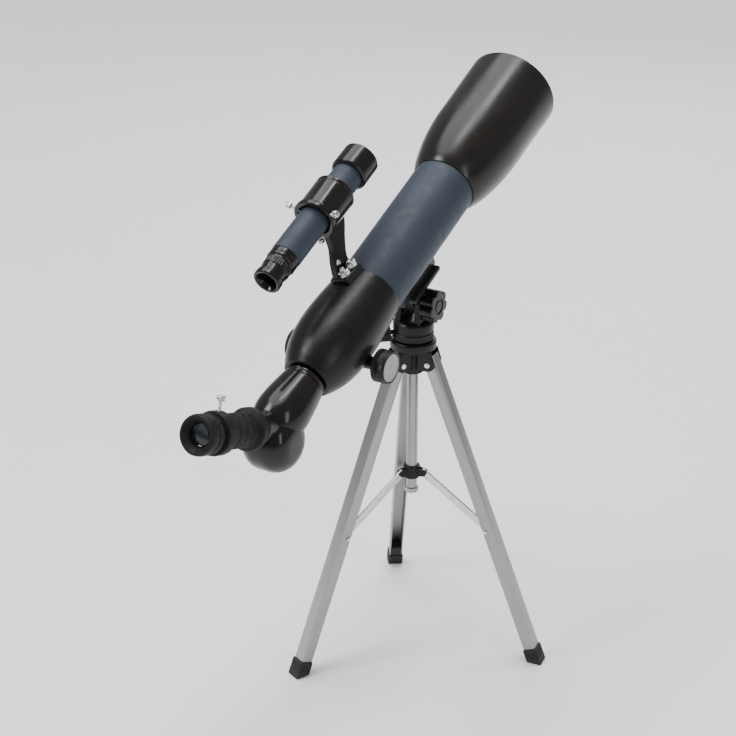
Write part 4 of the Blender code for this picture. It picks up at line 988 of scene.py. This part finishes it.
def leg(number):
    """A folded aluminium channel: its back faces out and its flanges turn in."""
    azimuth = AZIMUTHS[number - 1]
    axis = (Matrix.Translation(joint_place(f"leg_fold_{number}")) @ turn_about("Z", azimuth)
            @ turn_about("Y", -LEG_TILT))
    back = HINGE_INSET
    side = CHANNEL_WIDTH / 2
    inner = side - CHANNEL_WALL
    deep = back - CHANNEL_DEPTH
    skin = [(deep, -side)] + arc((back - 1.6 * MM, -side + 1.6 * MM), 1.6 * MM, -90, 0, 8)
    skin += arc((back - 1.6 * MM, side - 1.6 * MM), 1.6 * MM, 0, 90, 8) + [(deep, side)]
    lining = [(deep, inner)] + arc((back - CHANNEL_WALL - 0.5 * MM, inner - 0.5 * MM), 0.5 * MM, 90, 0, 4)
    lining += arc((back - CHANNEL_WALL - 0.5 * MM, -inner + 0.5 * MM), 0.5 * MM, 0, -90, 4) + [(deep, -inner)]
    channel = slab(skin + lining, -(LEG_LENGTH - 14 * MM), 6.5 * MM, 0.22 * MM, 2)
    across = turn_about("X", pi / 2)
    spot = moved(HINGE_INSET - BRACE_PIN_INSET, 0, -BRACE_PIN_ALONG)
    corner = box((-side, -8 * MM, -5 * MM), (0, 8 * MM, 5 * MM), 0)
    trim = moved(deep - 0.2 * MM, 0, 6.5 * MM) @ turn_about("Y", radians(45))
    cuts = [(rod(1.9 * MM, -9 * MM, 9 * MM), across), (rod(1.4 * MM, -9 * MM, 9 * MM), spot @ across),
            (corner, trim)]
    body = f"leg_{number}"
    piece(f"leg_channel_{number}", carved(channel, cuts), axis, ALUMINIUM, body, "leg_aluminium",
          f"leg_{number}")
    rivets = (("hinge_rivet", "hinge_pin", "tripod", 1.5, 2.7, CHEEK_OUTER + GAP, HERE),
              ("brace_rivet", "brace_pin", body, 1.1, 2.1, side + GAP, spot))
    for name, node, rides, radius, head, half, where in rivets:
        end = half + 1.1 * MM
        dome = [(head * MM * sin(a), half + 0.2 * MM + 0.9 * MM * cos(a)) for a in spaced(0, pi / 2, 10)]
        top = dome + [(head * MM, half), (radius * MM, half)]
        outline = top + [(r, -z) for r, z in reversed(top)]
        outline = [(0, end)] + outline[1:-1] + [(0, -end)]
        piece(f"{name}_{number}", turned(outline, SMALL, 0), axis @ where @ across, METAL, rides,
              "bright_metal", f"{node}_{number}")
    foot(number, axis)


def foot(number, axis):
    """Ribbed rubber foot, level on the floor when the leg is spread."""
    outer = HINGE_INSET + MM
    inner = HINGE_INSET - CHANNEL_DEPTH - MM
    slope = tan(LEG_TILT)
    floor = -LEG_LENGTH
    top = -(LEG_LENGTH - 14 * MM) - GAP
    outline = [(outer, top), (inner, top), (inner, floor - inner * slope), (outer, floor - outer * slope)]
    half = CHANNEL_WIDTH / 2 + MM
    across = turn_about("X", pi / 2)
    body = slab(outline, -half, half, 0.9 * MM, 4)
    fit = CHANNEL_WIDTH / 2 - CHANNEL_WALL - GAP
    low = (HINGE_INSET - CHANNEL_DEPTH + GAP, -fit, top - 2 * MM)
    plug = box(low, (HINGE_INSET - CHANNEL_WALL - GAP, fit, top + 12 * MM))
    middle = (outer + inner) / 2
    grooves = []
    for step in range(3):
        height = top - (3 + 2.6 * step) * MM
        for side in (-1, 1):
            ring = box((middle - 9 * MM, side * (half + 2 * MM) - 2.5 * MM, height - 0.5 * MM),
                       (middle + 9 * MM, side * (half + 2 * MM) + 2.5 * MM, height + 0.5 * MM), 0)
            grooves.append((ring, across.inverted()))
        face = box((outer - 0.5 * MM, -half - MM, height - 0.5 * MM),
                   (outer + 3 * MM, half + MM, height + 0.5 * MM), 0)
        grooves.append((face, across.inverted()))
    shape = carved(body, grooves, [(plug, across.inverted())])
    piece(f"rubber_foot_{number}", shape, axis @ across, RUBBER, f"leg_{number}", "foot_rubber",
          f"foot_{number}")


def brace(number):
    azimuth = AZIMUTHS[number - 1]
    axis = (Matrix.Translation(joint_place(f"brace_fold_{number}")) @ turn_about("Z", azimuth)
            @ turn_about("Y", BRACE_ANGLE) @ turn_about("X", pi / 2))
    low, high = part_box(f"brace_pin_{number}")
    length = ((low + high) / 2 - joint_place(f"brace_fold_{number}")).length
    bar = slab(capsule(length, 3.5 * MM), -MM, MM, 0.3 * MM, 3)
    slot = slab(capsule(BRACE_SLOT, 2.15 * MM), -3 * MM, 3 * MM, 0)
    bead = slab(capsule(length - 26 * MM, 0.9 * MM), -1.5 * MM, -0.9 * MM, 0.25 * MM, 2)
    cuts = [(rod(1.4 * MM, -3 * MM, 3 * MM), HERE), (slot, moved(length - BRACE_SLOT)),
            (bead, moved(11 * MM))]
    piece(f"brace_strap_{number}", carved(bar, cuts), axis, METAL, f"brace_{number}", "bright_metal",
          f"brace_{number}")


def spreader():
    inner = POST_RADIUS + 0.4 * MM
    ring = [(inner, -6 * MM), (7.0 * MM, -6 * MM), (7.6 * MM, -5.4 * MM), (7.6 * MM, 5.4 * MM),
            (7.0 * MM, 6 * MM), (inner, 6 * MM)]
    ear = [(6.2 * MM, -4 * MM)] + arc((HUB_PIN_RADIUS, 0), 3.0 * MM, -90, 90, 20) + [(6.2 * MM, 4 * MM)]
    joins = []
    for azimuth in AZIMUTHS:
        way = turn_about("Z", azimuth) @ turn_about("X", pi / 2)
        for low in (-3.2 * MM, 1.3 * MM):
            joins.append((slab(ear, low, low + 1.9 * MM, 0.3 * MM), way))
        spot = moved(HUB_PIN_RADIUS * cos(azimuth), HUB_PIN_RADIUS * sin(azimuth))
        joins.append((rod(MM, -3.0 * MM, 3.0 * MM), spot @ way))
    place = STAND @ moved(0, 0, HUB_HEIGHT)
    piece("spreader_moulding", carved(turned(ring, MIDDLE), joins=joins), place, SATIN, "spreader",
          "satin_black", "spreader_hub")
    top = PIVOT.z - 52.6 * MM
    low = HUB_HEIGHT - 16 * MM
    post = [(0, low - 5 * MM), (5.2 * MM, low - 5 * MM), (6.2 * MM, low - 4.4 * MM),
            (6.4 * MM, low - 3.6 * MM), (6.4 * MM, low - 0.4 * MM), (6 * MM, low), (POST_RADIUS, low),
            (POST_RADIUS, top), (0, top)]
    piece("centre_post_tube", turned(post, MIDDLE), STAND, ALUMINIUM, "tripod", "leg_aluminium",
          "centre_post")


# ---------------------------------------------------------------- stage
def floor():
    shape = bmesh.new()
    bmesh.ops.create_circle(shape, cap_ends=True, segments=96, radius=14)
    mesh = bpy.data.meshes.new("studio_floor")
    shape.to_mesh(mesh)
    shape.free()
    made = bpy.data.objects.new("studio_floor", mesh)
    bpy.context.scene.collection.objects.link(made)
    made.location.z = -GAP
    mesh.materials.append(pale_floor())


def light(name, place, size, power, colour=(1, 1, 1)):
    """A soft rectangular lamp aimed at the middle of the telescope."""
    lamp = bpy.data.lights.new(name, "AREA")
    lamp.shape = "RECTANGLE"
    lamp.size, lamp.size_y = size
    lamp.energy = power
    lamp.color = colour
    made = bpy.data.objects.new(name, lamp)
    bpy.context.scene.collection.objects.link(made)
    made.location = PIVOT + Vector(place)
    made.rotation_euler = Vector(place).to_track_quat("Z", "Y").to_euler()


def lights():
    light("key_softbox", (-0.9, -1.1, 1.5), (0.7, 0.7), 22)
    light("top_strip", (0.1, 0.5, 1.7), (0.22, 1.6), 12)
    light("right_fill", (1.8, -0.7, 0.7), (0.3, 1.2), 6)
    light("back_rim", (-0.6, 1.9, 0.9), (1.2, 0.4), 9)
    wash = bpy.data.lights.new("ceiling_wash", "SUN")
    wash.energy = 2.8
    wash.angle = radians(55)
    made = bpy.data.objects.new("ceiling_wash", wash)
    bpy.context.scene.collection.objects.link(made)
    made.rotation_euler = Vector((-0.25, 0.1, 1)).to_track_quat("Z", "Y").to_euler()
    world = bpy.data.worlds.new("studio_world")
    world.use_nodes = True
    background = world.node_tree.nodes["Background"]
    background.inputs["Color"].default_value = (0.80, 0.82, 0.85, 1)
    background.inputs["Strength"].default_value = 0.44
    bpy.context.scene.world = world


VIEW_AZIMUTH = radians(34.2)
VIEW_ELEVATION = radians(20.9)
VIEW_DISTANCE = 1.377
VIEW_SLIDE = -82.4 * MM
VIEW_RISE = -4.2 * MM
LENS = 81.0


def camera():
    toward = Vector((sin(VIEW_AZIMUTH) * cos(VIEW_ELEVATION), -cos(VIEW_AZIMUTH) * cos(VIEW_ELEVATION),
                     sin(VIEW_ELEVATION)))
    right = Vector((cos(VIEW_AZIMUTH), sin(VIEW_AZIMUTH), 0))
    eye = TUBE_ORIGIN + toward * VIEW_DISTANCE + right * VIEW_SLIDE + toward.cross(right) * VIEW_RISE
    aim = (cad_bounds[0] + cad_bounds[1]) / 2 + Vector((0, 0, 42 * MM)) - right * 27 * MM
    lens = bpy.data.cameras.new("camera")
    lens.lens = LENS
    lens.sensor_width = 36
    made = bpy.data.objects.new("camera", lens)
    bpy.context.scene.collection.objects.link(made)
    made.location = eye
    made.rotation_euler = (eye - aim).to_track_quat("Z", "Y").to_euler()
    bpy.context.scene.camera = made


# ---------------------------------------------------------------- assembly
camera()
floor()
lights()
dew_shield()
main_tube()
objective()
rear_cell()
mount_shoe()
drawtube()
focus_shaft()
diagonal_housing()
eyepiece_holder()
eyepiece_set()
finder_bracket()
finder_fittings()
finder_scope()
tilt_platform()
pan_base()
head_knobs()
crown()
for number in (1, 2, 3):
    leg(number)
    brace(number)
spreader()
